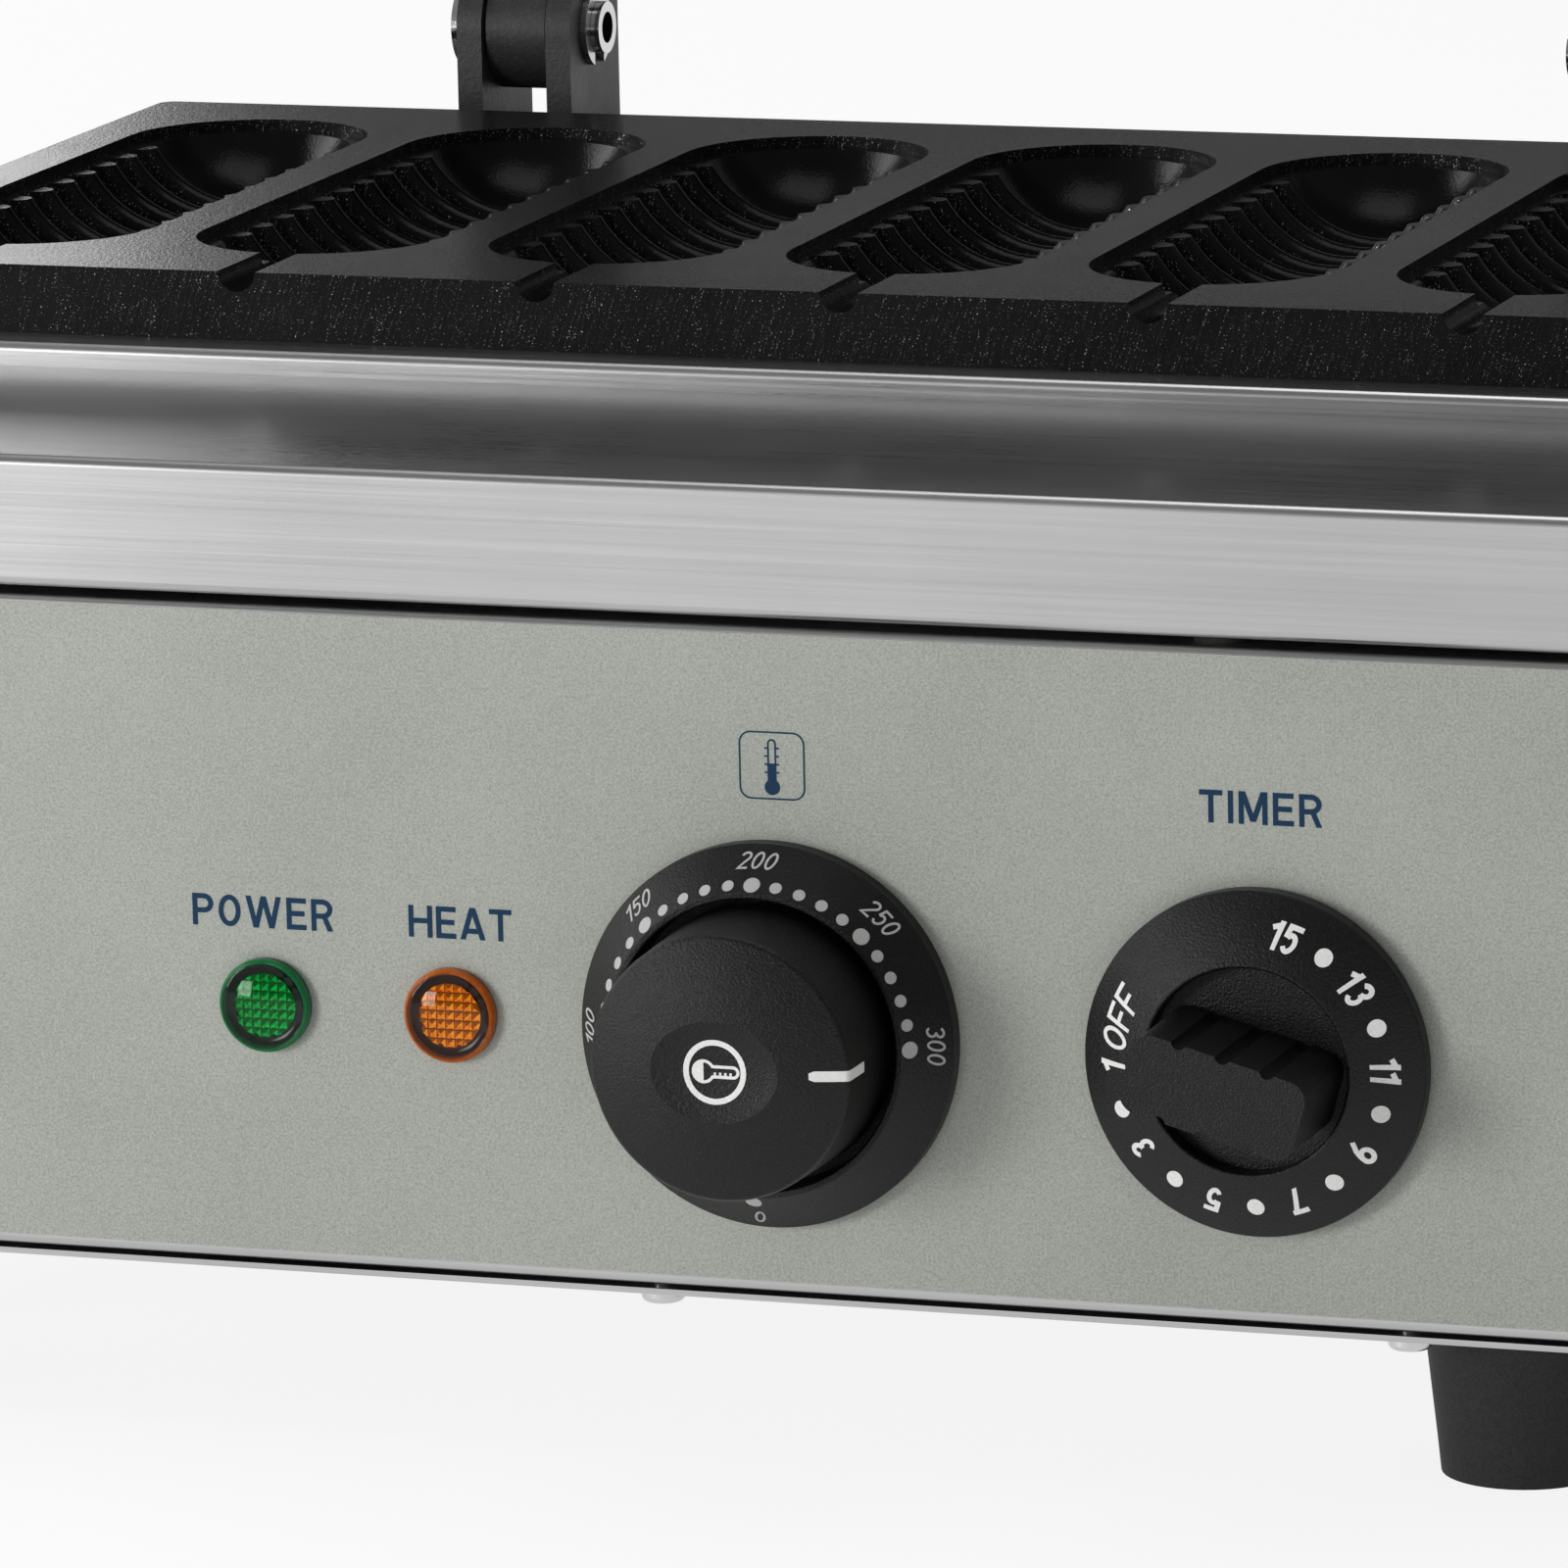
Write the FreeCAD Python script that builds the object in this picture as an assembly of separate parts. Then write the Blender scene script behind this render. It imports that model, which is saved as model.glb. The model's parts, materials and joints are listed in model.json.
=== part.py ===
import FreeCAD, Part
import math
import os
from FreeCAD import Vector

# Counter-top electric waffle maker for waffles baked on sticks, with its lid standing open.
# Millimetres, +Z up, the control panel faces -Y and the feet stand on z = 0.

# Sheet metal
sheet = 1.0
bend = 1.6
corner = 4.0
flange = 14.0
overlay_thick = 0.25
overlay_top_strip = 1.2
overlay_bottom_strip = 2.1
overlay_side_strip = 4.0

# Base casing, from the floor up
foot_height = 28.0
foot_diameter = 34.0
foot_taper = 3.0
foot_inset = 30.0
foot_web = 10.0
bottom_gap = 0.6
bottom_setback = 0.5
panel_height = 112.2
deck_gap = 1.6
deck_height = 22.2
deck_overhang = 2.0
ledge_depth = 81.6
side_ledge = 15.3
rear_ledge = 63.0
platform_rise = 4.2
platform_margin = 9.5

# Baking plates
cavity_count = 6
cavity_pitch = 55.0
cavity_width = 45.4
cavity_length = 147.0
cavity_depth = 16.0
rib_pitch = 10.0
rib_height = 4.4
rim_depth = 2.0
plate_side = 10.0
plate_front = 20.0
plate_back = 18.0
plate_slab = 12.0
plate_boss = 12.0
plate_corner = 3.0
boss_inset = 12.0
boss_clearance = 3.0
stick_diameter = 7.0
plate_gap = 1.0

# Heating under and over the plates
element_diameter = 8.0
element_runs = 4
element_run_pitch = 38.0
element_lead = 10.0
element_bend_room = 8.0
clamp_width = 18.0
clamp_thick = 3.0
clamp_reach = 14.0
tray_sheet = 0.8
tray_depth = 52.0
insulation_thick = 18.0
insulation_edge = 1.0
bulb_diameter = 5.0
bulb_length = 80.0
bulb_lift = 4.5
bulb_bay = 1
capillary_diameter = 2.0
capillary_bend = 10.0
capillary_hole = 6.0

# Lid
lid_margin = 6.0
lid_height = 46.0
lid_bend = 10.0
lid_corner = 12.0
lid_open_angle = 90.0
handle_gap = 42.0
handle_rise = 22.0
handle_half_span = 55.0
grip_diameter = 28.0
grip_length = 160.0
grip_nose = 9.0
post_diameter = 13.0
post_socket = 8.0
post_flange_diameter = 26.0
post_flange = 3.0
post_stud = 8.0

# Hinge
hinge_half_span = 110.0
hinge_back = 33.0
hinge_rise = 10.0
hinge_pin_diameter = 10.0
hinge_pin_bore = 6.0
hinge_pin_head = 3.0
hinge_pin_tail = 3.0
bush_wall = 2.0
arm_thick = 12.0
arm_height = 20.0
arm_eye_radius = 12.0
arm_upright = 11.0
arm_pad = 4.0
arm_pad_width = 36.0
arm_pad_height = 30.0
ear_thick = 5.0
ear_radius = 13.0
bracket_base = 4.0
bracket_width = 46.0
bracket_length = 48.0
stop_web = 4.0
stop_low = 8.0
stop_high = 20.0
clip_thick = 1.2
clip_width = 2.4
clip_groove = 0.8

# Controls on the panel
control_height = 44.4
power_lamp_x = -45.2
heat_lamp_x = -12.3
thermostat_x = 43.9
timer_x = 127.4
lamp_diameter = 15.3
lamp_proud = 4.6
lamp_rim = 2.6
lamp_crown = 5.4
lamp_stem = 9.6
lamp_stem_length = 10.0
lamp_body_diameter = 14.0
lamp_body_length = 26.0
lamp_clip = 1.2
spindle_diameter = 6.0
spindle_hole = 11.0
spindle_reach = 14.0
body_screw_pitch = 28.0
bezel_diameter = 64.6
bezel_wall = 3.0
bezel_crest_radius = 25.6
bezel_crest = 10.0
bezel_edge = 0.4
bezel_inner_radius = 24.4
bezel_floor = 2.0
knob_base_radius = 22.8
knob_face_radius = 22.2
knob_face = 30.0
knob_seat = 5.2
knob_dome = 70.0
knob_edge = 1.0
knob_dish_length = 26.0
knob_dish_width = 17.0
knob_dish_depth = 1.0
timer_diameter = 57.5
timer_lift = 0.6
timer_wall = 3.6
timer_dome = 55.0
timer_edge = 0.5
timer_recess_radius = 17.0
timer_recess_floor = 5.2
timer_skin = 1.8
timer_hollow_radius = 24.0
timer_grip_length = 30.0
timer_grip_width = 13.4
timer_grip_face = 27.5
timer_grip_turn = 15.5
timer_flute_radius = 1.3
timer_flute_depth = 0.9
timer_flute_pitch = 7.6
thermostat_body_size = (44.0, 36.0, 38.0)
timer_body_size = (50.0, 48.0, 40.0)

# Wiring fittings
terminal_size = (70.0, 24.0, 22.0)
terminal_x = -60.0
terminal_from_rear = 70.0
terminal_bore = 6.0
gland_x = 130.0
gland_height = 30.0
gland_thread = 16.0
gland_across = 22.0
gland_hex = 6.0
gland_dome = 12.0
gland_cable = 8.4
gland_nut_height = 5.0

# Vents
vent_width = 3.0
vent_length = 36.0
vent_pitch = 9.0
vent_count = 9

# Fasteners: shank diameter, head diameter, head height
screw_m4 = (4.0, 7.4, 2.6)
bolt_m5 = (5.0, 8.4, 3.2)
bolt_m6 = (6.0, 10.0, 3.6)
nut_m5 = (8.0, 4.0)
nut_m8 = (13.0, 5.0)
screw_tail = 5.0
thread_depth = 6.0
head_round = 0.4
drive_share = 0.42
bottom_screw_inset = 43.0
bottom_screw_mid = 21.1
rear_screw_inset = 31.0
deck_screw_inset = 73.0
deck_spacer_diameter = 10.0
plate_bolt_edge = 4.0

# Clearances
fit = 0.05
loose = 0.3
element_seat = 0.2
side_play = 0.5

# Levels that follow from the sizes
z_bottom = foot_height
z_bottom_top = z_bottom + sheet
z_casing = z_bottom_top + bottom_gap
z_panel_top = z_casing + panel_height
z_deck_low = z_panel_top + deck_gap
z_deck = z_deck_low + deck_height
z_platform = z_deck + platform_rise
z_face = z_platform + plate_slab
z_boss = z_platform - plate_boss
z_upper_face = z_face + plate_gap
z_mirror = (z_face + z_upper_face) / 2
z_lid = z_upper_face + plate_slab
z_lid_top = z_lid + lid_height
hinge_z = z_face + hinge_rise
control_z = z_casing + control_height

# Widths and depths that follow from the plate
plate_width = (cavity_count - 1) * cavity_pitch + cavity_width + 2 * plate_side
plate_depth = plate_front + cavity_length + plate_back
boss_width = plate_width - 2 * boss_inset
platform_width = plate_width + 2 * platform_margin
platform_depth = plate_depth + 2 * platform_margin
deck_width = platform_width + 2 * side_ledge
deck_depth = ledge_depth + platform_depth + rear_ledge
casing_width = deck_width - 2 * deck_overhang
casing_depth = deck_depth - 2 * deck_overhang
lid_width = plate_width + 2 * lid_margin
hinge_setback = ledge_depth - deck_overhang + platform_depth + hinge_back

# The origin is midway between the knob face and the back of the open lid
front_reach = knob_face + overlay_thick
rear_reach = hinge_setback + z_lid_top - hinge_z
panel_y = (front_reach - rear_reach) / 2
face_y = panel_y - overlay_thick
casing_rear = panel_y + casing_depth
deck_front = panel_y - deck_overhang
deck_rear = deck_front + deck_depth
platform_y = deck_front + ledge_depth
platform_rear = platform_y + platform_depth
plate_y = platform_y + platform_margin
plate_rear = plate_y + plate_depth
plate_mid = (plate_y + plate_rear) / 2
boss_y = plate_y + boss_inset
boss_rear = plate_rear - boss_inset
lid_front = plate_y - lid_margin
lid_rear = plate_rear + lid_margin
hinge_y = platform_rear + hinge_back
grip_y = lid_front - handle_gap - grip_diameter / 2
grip_z = z_lid + handle_rise
cavity_xs = [(i - (cavity_count - 1) / 2) * cavity_pitch for i in range(cavity_count)]
bay_xs = [x + cavity_pitch / 2 for x in cavity_xs[:-1]]
hinge_xs = (-hinge_half_span, hinge_half_span)


# Basic shapes

def block(x0, x1, y0, y1, z0, z1):
    return Part.makeBox(x1 - x0, y1 - y0, z1 - z0, Vector(x0, y0, z0))


def wide(width, y0, y1, z0, z1):
    return block(-width / 2, width / 2, y0, y1, z0, z1)


def rod(start, end, radius):
    line = end - start
    return Part.makeCylinder(radius, line.Length, start, line)


def upright_edges(shape):
    return [e for e in shape.Edges if abs(e.Vertexes[0].Z - e.Vertexes[-1].Z) > 0.5 * shape.BoundBox.ZLength]


def level_edges(shape, z):
    return [e for e in shape.Edges if abs(e.BoundBox.ZMin - z) < 1e-4 and abs(e.BoundBox.ZMax - z) < 1e-4]


def rounded(shape, corner_radius, low=0.0, high=0.0):
    z0 = shape.BoundBox.ZMin
    z1 = shape.BoundBox.ZMax
    shape = shape.makeFillet(corner_radius, upright_edges(shape))
    if high:
        shape = shape.makeFillet(high, level_edges(shape, z1))
    if low:
        shape = shape.makeFillet(low, level_edges(shape, z0))
    return shape


def joined(first, *others):
    return first.fuse(list(others)).removeSplitter()


def group(shapes):
    return Part.makeCompound(shapes)


def outline(start, *steps):
    # A step is a point for a straight run, or a point on the way and an end point for an arc
    edges = []
    last = Vector(*start)
    for step in steps:
        if isinstance(step[0], tuple):
            end = Vector(*step[1])
            edges.append(Part.Arc(last, Vector(*step[0]), end).toShape())
        else:
            end = Vector(*step)
            edges.append(Part.LineSegment(last, end).toShape())
        last = end
    return Part.Wire(edges)


def turned(points, x, z):
    # Radius and height above the panel face become a turned piece on an axis square to the panel
    flat = [(r, -h, 0) for r, h in points]
    face = Part.Face(outline(flat[0], *flat[1:], flat[0]))
    solid = face.revolve(Vector(0, 0, 0), Vector(0, 1, 0), 360)
    return solid.translated(Vector(x, face_y, z))


def hexagon(across, height):
    radius = across / math.sqrt(3)
    turns = [i * math.pi / 3 for i in range(7)]
    points = [Vector(radius * math.cos(turn), radius * math.sin(turn), 0) for turn in turns]
    return Part.Face(Part.makePolygon(points)).extrude(Vector(0, 0, height))


def placed(shape, position, direction):
    copy = shape.copy()
    copy.Placement = FreeCAD.Placement(position, FreeCAD.Rotation(Vector(0, 0, 1), direction))
    return copy


# Fasteners

def screw(size, seat, direction, length):
    diameter, head_diameter, head_height = size
    head = Part.makeCylinder(head_diameter / 2, head_height, Vector(0, 0, -head_height))
    head = head.makeFillet(head_round * head_height, level_edges(head, -head_height))
    shank = Part.makeCylinder(diameter / 2, length)
    socket = hexagon(drive_share * head_diameter, head_height / 2).translated(Vector(0, 0, -head_height))
    return placed(joined(head, shank).cut(socket), seat, direction)


def nut(size, seat, direction, bore):
    across, height = size
    body = hexagon(across, height).cut(Part.makeCylinder(bore / 2 + fit, height))
    return placed(body, seat, direction)


def screw_hole(size, seat, direction, length):
    return Part.makeCylinder(size[0] / 2 + fit, length, seat, direction)


def slot(centre, along, through, length, width, depth):
    start = centre - through * (depth / 2)
    half = along * ((length - width) / 2)
    side = along.cross(through) * (width / 2)
    corners = [start + half + side, start + half - side, start - half - side, start - half + side]
    middle = Part.Face(Part.makePolygon(corners + corners[:1])).extrude(through * depth)
    ends = [Part.makeCylinder(width / 2, depth, start + shift, through) for shift in (half, half * -1)]
    return joined(middle, *ends)


def vents(centre, row, along, through, depth):
    places = [(i - (vent_count - 1) / 2) * vent_pitch for i in range(vent_count)]
    return [slot(centre + row * place, along, through, vent_length, vent_width, depth) for place in places]


# Directions
right = Vector(1, 0, 0)
back = Vector(0, 1, 0)
up = Vector(0, 0, 1)
front = back * -1
down = up * -1


# Places of repeated fixings

bottom_edge_x = casing_width / 2 - bottom_screw_inset
bottom_screw_places = [Vector(x, y, z_bottom)
                       for x in (-bottom_edge_x, bottom_screw_mid, bottom_edge_x)
                       for y in (panel_y + flange / 2, casing_rear - flange / 2)]
rear_edge_x = casing_width / 2 - rear_screw_inset
rear_screw_places = [Vector(x, casing_rear + sheet, z)
                     for x in (-rear_edge_x, 0, rear_edge_x)
                     for z in (z_casing + flange / 2, z_panel_top - flange / 2)]
deck_edge_x = casing_width / 2 - deck_screw_inset
deck_screw_places = [Vector(x, y, z_panel_top - sheet)
                     for x in (-deck_edge_x, deck_edge_x)
                     for y in (panel_y + flange / 2, casing_rear - flange / 2)]
deck_screw_places += [Vector(side * (casing_width - flange) / 2, plate_mid, z_panel_top - sheet)
                      for side in (-1, 1)]
foot_x = casing_width / 2 - foot_inset
foot_places = [Vector(x, y, 0)
               for x in (-foot_x, foot_x)
               for y in (panel_y + foot_inset, casing_rear - foot_inset)]
plate_bolt_places = [Vector(x, y, z_platform)
                     for x in (bay_xs[0], bay_xs[-1])
                     for y in (plate_y + plate_bolt_edge, plate_rear - plate_bolt_edge)]
clamp_xs = (bay_xs[0], bay_xs[len(bay_xs) // 2], bay_xs[-1])
clamp_bolt_places = [Vector(x, plate_mid + side * element_run_pitch, z_boss)
                     for x in clamp_xs
                     for side in (-1, 1)]
hinge_bolt_x = (bracket_width - bolt_m5[1]) / 2 - loose
hinge_bolt_places = [Vector(x + side * hinge_bolt_x, hinge_y, z_deck + bracket_base)
                     for x in hinge_xs
                     for side in (-1, 1)]
arm_bolt_x = (arm_pad_width + arm_thick) / 4
arm_pad_z = z_lid_top - lid_bend - arm_pad_height
arm_bolt_places = [Vector(x + side * arm_bolt_x, lid_rear + arm_pad, arm_pad_z + arm_pad_height / 2)
                   for x in hinge_xs
                   for side in (-1, 1)]
post_places = [Vector(side * handle_half_span, lid_front, grip_z) for side in (-1, 1)]
body_screw_xs = (-body_screw_pitch / 2, body_screw_pitch / 2)
gland_place = Vector(gland_x, casing_rear + sheet, z_casing + gland_height)


# Casing and covers

def panel_cuts():
    reach = 4 * sheet
    start = panel_y - 2 * sheet
    cuts = []
    for x in (power_lamp_x, heat_lamp_x):
        cuts.append(Part.makeCylinder(lamp_stem / 2 + fit, reach, Vector(x, start, control_z), back))
    for x in (thermostat_x, timer_x):
        cuts.append(Part.makeCylinder(spindle_hole / 2, reach, Vector(x, start, control_z), back))
        for offset in body_screw_xs:
            cuts.append(screw_hole(screw_m4, Vector(x + offset, start, control_z), back, reach))
    return cuts


def make_casing():
    outer = rounded(wide(casing_width, panel_y, casing_rear, z_casing, z_panel_top), corner, bend, bend)
    inner = wide(casing_width - 2 * sheet, panel_y + sheet, casing_rear - sheet,
                 z_casing + sheet, z_panel_top - sheet)
    inner = rounded(inner, corner - sheet, bend - sheet, bend - sheet)
    mouth = casing_width - 2 * flange
    through = wide(mouth, panel_y + flange, casing_rear - flange, z_casing - sheet, z_panel_top + sheet)
    rear = wide(mouth, casing_rear - 2 * sheet, casing_rear + sheet, z_casing + flange, z_panel_top - flange)
    cuts = [inner, through, rear] + panel_cuts()
    vent_centre = Vector(0, plate_mid, z_casing + panel_height / 2)
    cuts += vents(vent_centre, back, up, right, 2 * casing_width)
    for place in bottom_screw_places:
        cuts.append(screw_hole(screw_m4, place, up, foot_height))
    for place in rear_screw_places:
        cuts.append(screw_hole(screw_m4, place, front, flange))
    for place in deck_screw_places:
        cuts.append(screw_hole(screw_m4, place - up * sheet, up, 4 * sheet))
    return outer.cut(cuts)


def make_overlay():
    film = wide(casing_width - 2 * (corner + overlay_side_strip), face_y, panel_y,
                z_casing + overlay_bottom_strip, z_panel_top - overlay_top_strip)
    return film.cut(panel_cuts())


def make_deck():
    outer = wide(deck_width, deck_front, deck_rear, z_deck_low, z_deck)
    outer = rounded(outer, corner + deck_overhang, bend, bend)
    inner = wide(deck_width - 2 * sheet, deck_front + sheet, deck_rear - sheet,
                 z_deck_low + sheet, z_deck - sheet)
    inner = rounded(inner, corner + deck_overhang - sheet, bend - sheet, bend - sheet)
    raised = wide(platform_width, platform_y, platform_rear, z_deck - sheet, z_platform)
    raised = rounded(raised, corner, high=bend)
    under = wide(platform_width - 2 * sheet, platform_y + sheet, platform_rear - sheet,
                 z_deck - 2 * sheet, z_platform - sheet)
    under = rounded(under, corner - sheet, high=bend - sheet)
    opening = wide(boss_width + 2 * boss_clearance, boss_y - boss_clearance, boss_rear + boss_clearance,
                   z_deck, z_platform + sheet)
    mouth = wide(casing_width - 2 * flange, panel_y + flange, casing_rear - flange,
                 z_deck_low - sheet, z_deck_low + 2 * sheet)
    cuts = [inner, under, rounded(opening, plate_corner), mouth]
    for place in deck_screw_places:
        cuts.append(screw_hole(screw_m4, place, up, deck_gap + 4 * sheet))
    for place in hinge_bolt_places:
        cuts.append(screw_hole(bolt_m5, place, down, bracket_base + 4 * sheet))
    for place in plate_bolt_places:
        cuts.append(screw_hole(screw_m4, place + up * sheet, down, 3 * sheet))
    return joined(outer, raised).cut(cuts)


def make_rear_panel():
    panel = wide(casing_width - 2 * corner, casing_rear, casing_rear + sheet,
                 z_casing + bend, z_panel_top - bend)
    cuts = [screw_hole(screw_m4, place + back * sheet, front, 3 * sheet) for place in rear_screw_places]
    cuts.append(Part.makeCylinder(gland_thread / 2 + fit, 3 * sheet, gland_place + back * sheet, front))
    cuts += vents(Vector(0, casing_rear, z_casing + panel_height / 2), right, up, back, 4 * sheet)
    return panel.cut(cuts)


def make_bottom_cover():
    cover = wide(casing_width - 2 * bottom_setback, panel_y + bottom_setback, casing_rear - bottom_setback,
                 z_bottom, z_bottom_top)
    cuts = [screw_hole(screw_m4, place - up * sheet, up, 3 * sheet) for place in bottom_screw_places]
    for place in foot_places:
        cuts.append(screw_hole(bolt_m5, place, up, foot_height + 3 * sheet))
    cuts += vents(Vector(0, plate_mid, z_bottom), right, back, up, 4 * sheet)
    return rounded(cover, corner).cut(cuts)


def make_feet():
    top = foot_diameter / 2
    pocket = bolt_m5[1] / 2 + loose
    feet = []
    for place in foot_places:
        foot = Part.makeCone(top - foot_taper, top, foot_height, place, up)
        foot = foot.cut(Part.makeCylinder(pocket, foot_height - foot_web, place, up))
        feet.append(foot.cut(screw_hole(bolt_m5, place, up, foot_height)))
    return group(feet)


def make_deck_spacers():
    spacers = []
    for place in deck_screw_places:
        seat = place + up * sheet
        disc = Part.makeCylinder(deck_spacer_diameter / 2, deck_gap, seat, up)
        spacers.append(disc.cut(screw_hole(screw_m4, seat, up, deck_gap)))
    return group(spacers)


# Baking plates

def cavity_tools(x):
    half = cavity_width / 2
    radius = (half ** 2 + cavity_depth ** 2) / (2 * cavity_depth)
    middle = radius - rib_height / 2
    start = plate_y + plate_front + half
    end = plate_rear - plate_back - half
    waves = max(1, round((end - start) / rib_pitch))
    step = (end - start) / waves / 2
    slant = middle * math.sqrt(0.5)
    profile = [((slant, start - slant, 0), (middle, start, 0))]
    for i in range(2 * waves):
        y = start + i * step
        swing = rib_height / 2 * (-1) ** i
        profile.append(((middle + swing, y + step / 2, 0), (middle, y + step, 0)))
    profile.append(((slant, end + slant, 0), (0, end + middle, 0)))
    profile.append((0, start - middle, 0))
    trough = Part.Face(outline((0, start - middle, 0), *profile)).revolve(Vector(0, 0, 0), back, 360)
    trough = trough.translated(Vector(x, 0, z_face + radius - cavity_depth))
    rim = slot(Vector(x, (start + end) / 2, z_face), back, up, cavity_length, cavity_width, 2 * rim_depth)
    stick = rod(Vector(x, plate_y - stick_diameter, z_face), Vector(x, start, z_face), stick_diameter / 2)
    return [trough, rim, stick]


def make_plate():
    slab = rounded(wide(plate_width, plate_y, plate_rear, z_platform, z_face), plate_corner)
    boss = rounded(wide(boss_width, boss_y, boss_rear, z_boss, z_platform), plate_corner)
    cuts = []
    for x in cavity_xs:
        cuts += cavity_tools(x)
    for place in plate_bolt_places:
        cuts.append(screw_hole(screw_m4, place, up, thread_depth))
    for place in clamp_bolt_places:
        cuts.append(screw_hole(bolt_m5, place, up, thread_depth))
    return joined(slab, boss).cut(cuts)


def flipped(shape):
    return shape.mirror(Vector(0, 0, z_mirror), up)


def make_plate_bolts(stack):
    seats = [place - up * stack for place in plate_bolt_places]
    return group([screw(screw_m4, seat, up, stack + thread_depth - loose) for seat in seats])


# Heating

element_z = z_boss - element_seat - element_diameter / 2
clamp_top = element_z - element_diameter / 2 - element_seat
run_ys = [plate_mid + (i - (element_runs - 1) / 2) * element_run_pitch for i in range(element_runs)]
bend_x = boss_width / 2 - element_bend_room - element_run_pitch / 2
lead_x = boss_width / 2 + boss_clearance + tray_sheet + element_lead
last_side = 1 if element_runs % 2 else -1
z_tray_top = z_platform - sheet
z_tray = z_tray_top - tray_depth
bulb_x = bay_xs[len(bay_xs) // 2 + bulb_bay]
bulb_z = z_boss + bulb_lift


def make_element():
    start = (-lead_x, run_ys[0], element_z)
    steps = []
    side = 1
    for y, next_y in zip(run_ys, run_ys[1:]):
        steps.append((side * bend_x, y, element_z))
        bulge = (side * (bend_x + element_run_pitch / 2), (y + next_y) / 2, element_z)
        steps.append((bulge, (side * bend_x, next_y, element_z)))
        side = -side
    steps.append((last_side * lead_x, run_ys[-1], element_z))
    ring = Part.Wire(Part.makeCircle(element_diameter / 2, Vector(*start), right))
    return outline(start, *steps).makePipeShell([ring], True, False)


def make_clamp_bars():
    bars = []
    for x in clamp_xs:
        bar = block(x - clamp_width / 2, x + clamp_width / 2, run_ys[0] - clamp_reach,
                    run_ys[-1] + clamp_reach, clamp_top - clamp_thick, clamp_top)
        holes = [screw_hole(bolt_m5, place, down, foot_height) for place in clamp_bolt_places if place.x == x]
        bars.append(bar.cut(holes))
    return group(bars)


def make_clamp_bolts():
    stack = z_boss - clamp_top + clamp_thick
    seats = [place - up * stack for place in clamp_bolt_places]
    return group([screw(bolt_m5, seat, up, stack + thread_depth - loose) for seat in seats])


def make_heat_tray():
    wall = boss_clearance + tray_sheet
    outer = wide(boss_width + 2 * wall, boss_y - wall, boss_rear + wall, z_tray, z_tray_top)
    inner = wide(boss_width + 2 * boss_clearance, boss_y - boss_clearance, boss_rear + boss_clearance,
                 z_tray + tray_sheet, z_tray_top + sheet)
    lip = rounded(wide(plate_width, plate_y, plate_rear, z_tray_top - tray_sheet, z_tray_top), plate_corner)
    cuts = [rounded(inner, plate_corner)]
    for x, y in ((-lead_x, run_ys[0]), (last_side * lead_x, run_ys[-1])):
        cuts.append(rod(Vector(x, y, element_z), Vector(0, y, element_z), element_diameter / 2 + loose))
    cuts.append(rod(Vector(bulb_x, boss_y, bulb_z), Vector(bulb_x, plate_y, bulb_z), capillary_hole / 2))
    for place in plate_bolt_places:
        cuts.append(screw_hole(screw_m4, place, down, 4 * sheet))
    return joined(rounded(outer, plate_corner + tray_sheet), lip).cut(cuts)


def make_lower_insulation():
    gap = boss_clearance - insulation_edge
    board = wide(boss_width + 2 * gap, boss_y - gap, boss_rear + gap,
                 z_tray + tray_sheet, z_tray + tray_sheet + insulation_thick)
    return rounded(board, plate_corner)


def make_upper_insulation():
    low = 2 * z_mirror - clamp_top + clamp_thick + bolt_m5[2] + loose
    return rounded(wide(boss_width, boss_y, boss_rear, low, z_lid_top - sheet), plate_corner)


def make_bulb():
    body_depth = thermostat_body_size[2]
    body_rear = panel_y + sheet + body_depth
    drop = Vector(bulb_x, plate_y - capillary_bend, bulb_z)
    low = Vector(bulb_x, plate_y - capillary_bend, control_z)
    end = Vector(bulb_x, body_rear, control_z)
    start = Vector(bulb_x, boss_y + capillary_bend, bulb_z)
    r = capillary_bend
    ease = r * (1 - math.sqrt(0.5))
    path = outline(tuple(start), (bulb_x, drop.y + r, bulb_z),
                   ((bulb_x, drop.y + ease, bulb_z - ease), (bulb_x, drop.y, bulb_z - r)),
                   (bulb_x, low.y, control_z + r),
                   ((bulb_x, low.y - ease, control_z + ease), (bulb_x, low.y - r, control_z)),
                   tuple(end))
    ring = Part.Wire(Part.makeCircle(capillary_diameter / 2, start, front))
    tube = path.makePipeShell([ring], True, False)
    bulb = Part.makeCylinder(bulb_diameter / 2, bulb_length, start, back)
    return joined(bulb, tube)


def bulb_bore():
    start = Vector(bulb_x, boss_y - sheet, bulb_z)
    return Part.makeCylinder(bulb_diameter / 2 + fit, bulb_length + capillary_bend + 2 * sheet, start, back)


# Controls

def ring_edges(shape, height):
    y = face_y - height
    return [e for e in shape.Edges if abs(e.BoundBox.YMin - y) < 1e-4 and abs(e.BoundBox.YMax - y) < 1e-4]


def dome_height(radius, ring_radius, ring_height, ball_radius):
    # A dome that passes through the given ring, read at another radius
    return ring_height + math.sqrt(ball_radius ** 2 - radius ** 2) - math.sqrt(ball_radius ** 2 - ring_radius ** 2)


def domed(solid, x, ring_radius, ring_height, ball_radius):
    middle = ring_height - math.sqrt(ball_radius ** 2 - ring_radius ** 2)
    return solid.common(Part.makeSphere(ball_radius, Vector(x, face_y - middle, control_z)))


def make_control_body(x, size):
    width, height, depth = size
    front_y = panel_y + sheet
    body = block(x - width / 2, x + width / 2, front_y, front_y + depth,
                 control_z - height / 2, control_z + height / 2)
    seat = Vector(x, front_y, control_z)
    bore = Part.makeCylinder(spindle_diameter / 2 + fit, spindle_reach + loose, seat, back)
    holes = [screw_hole(screw_m4, Vector(x + offset, front_y, control_z), back, thread_depth)
             for offset in body_screw_xs]
    return body.cut([bore] + holes)


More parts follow.
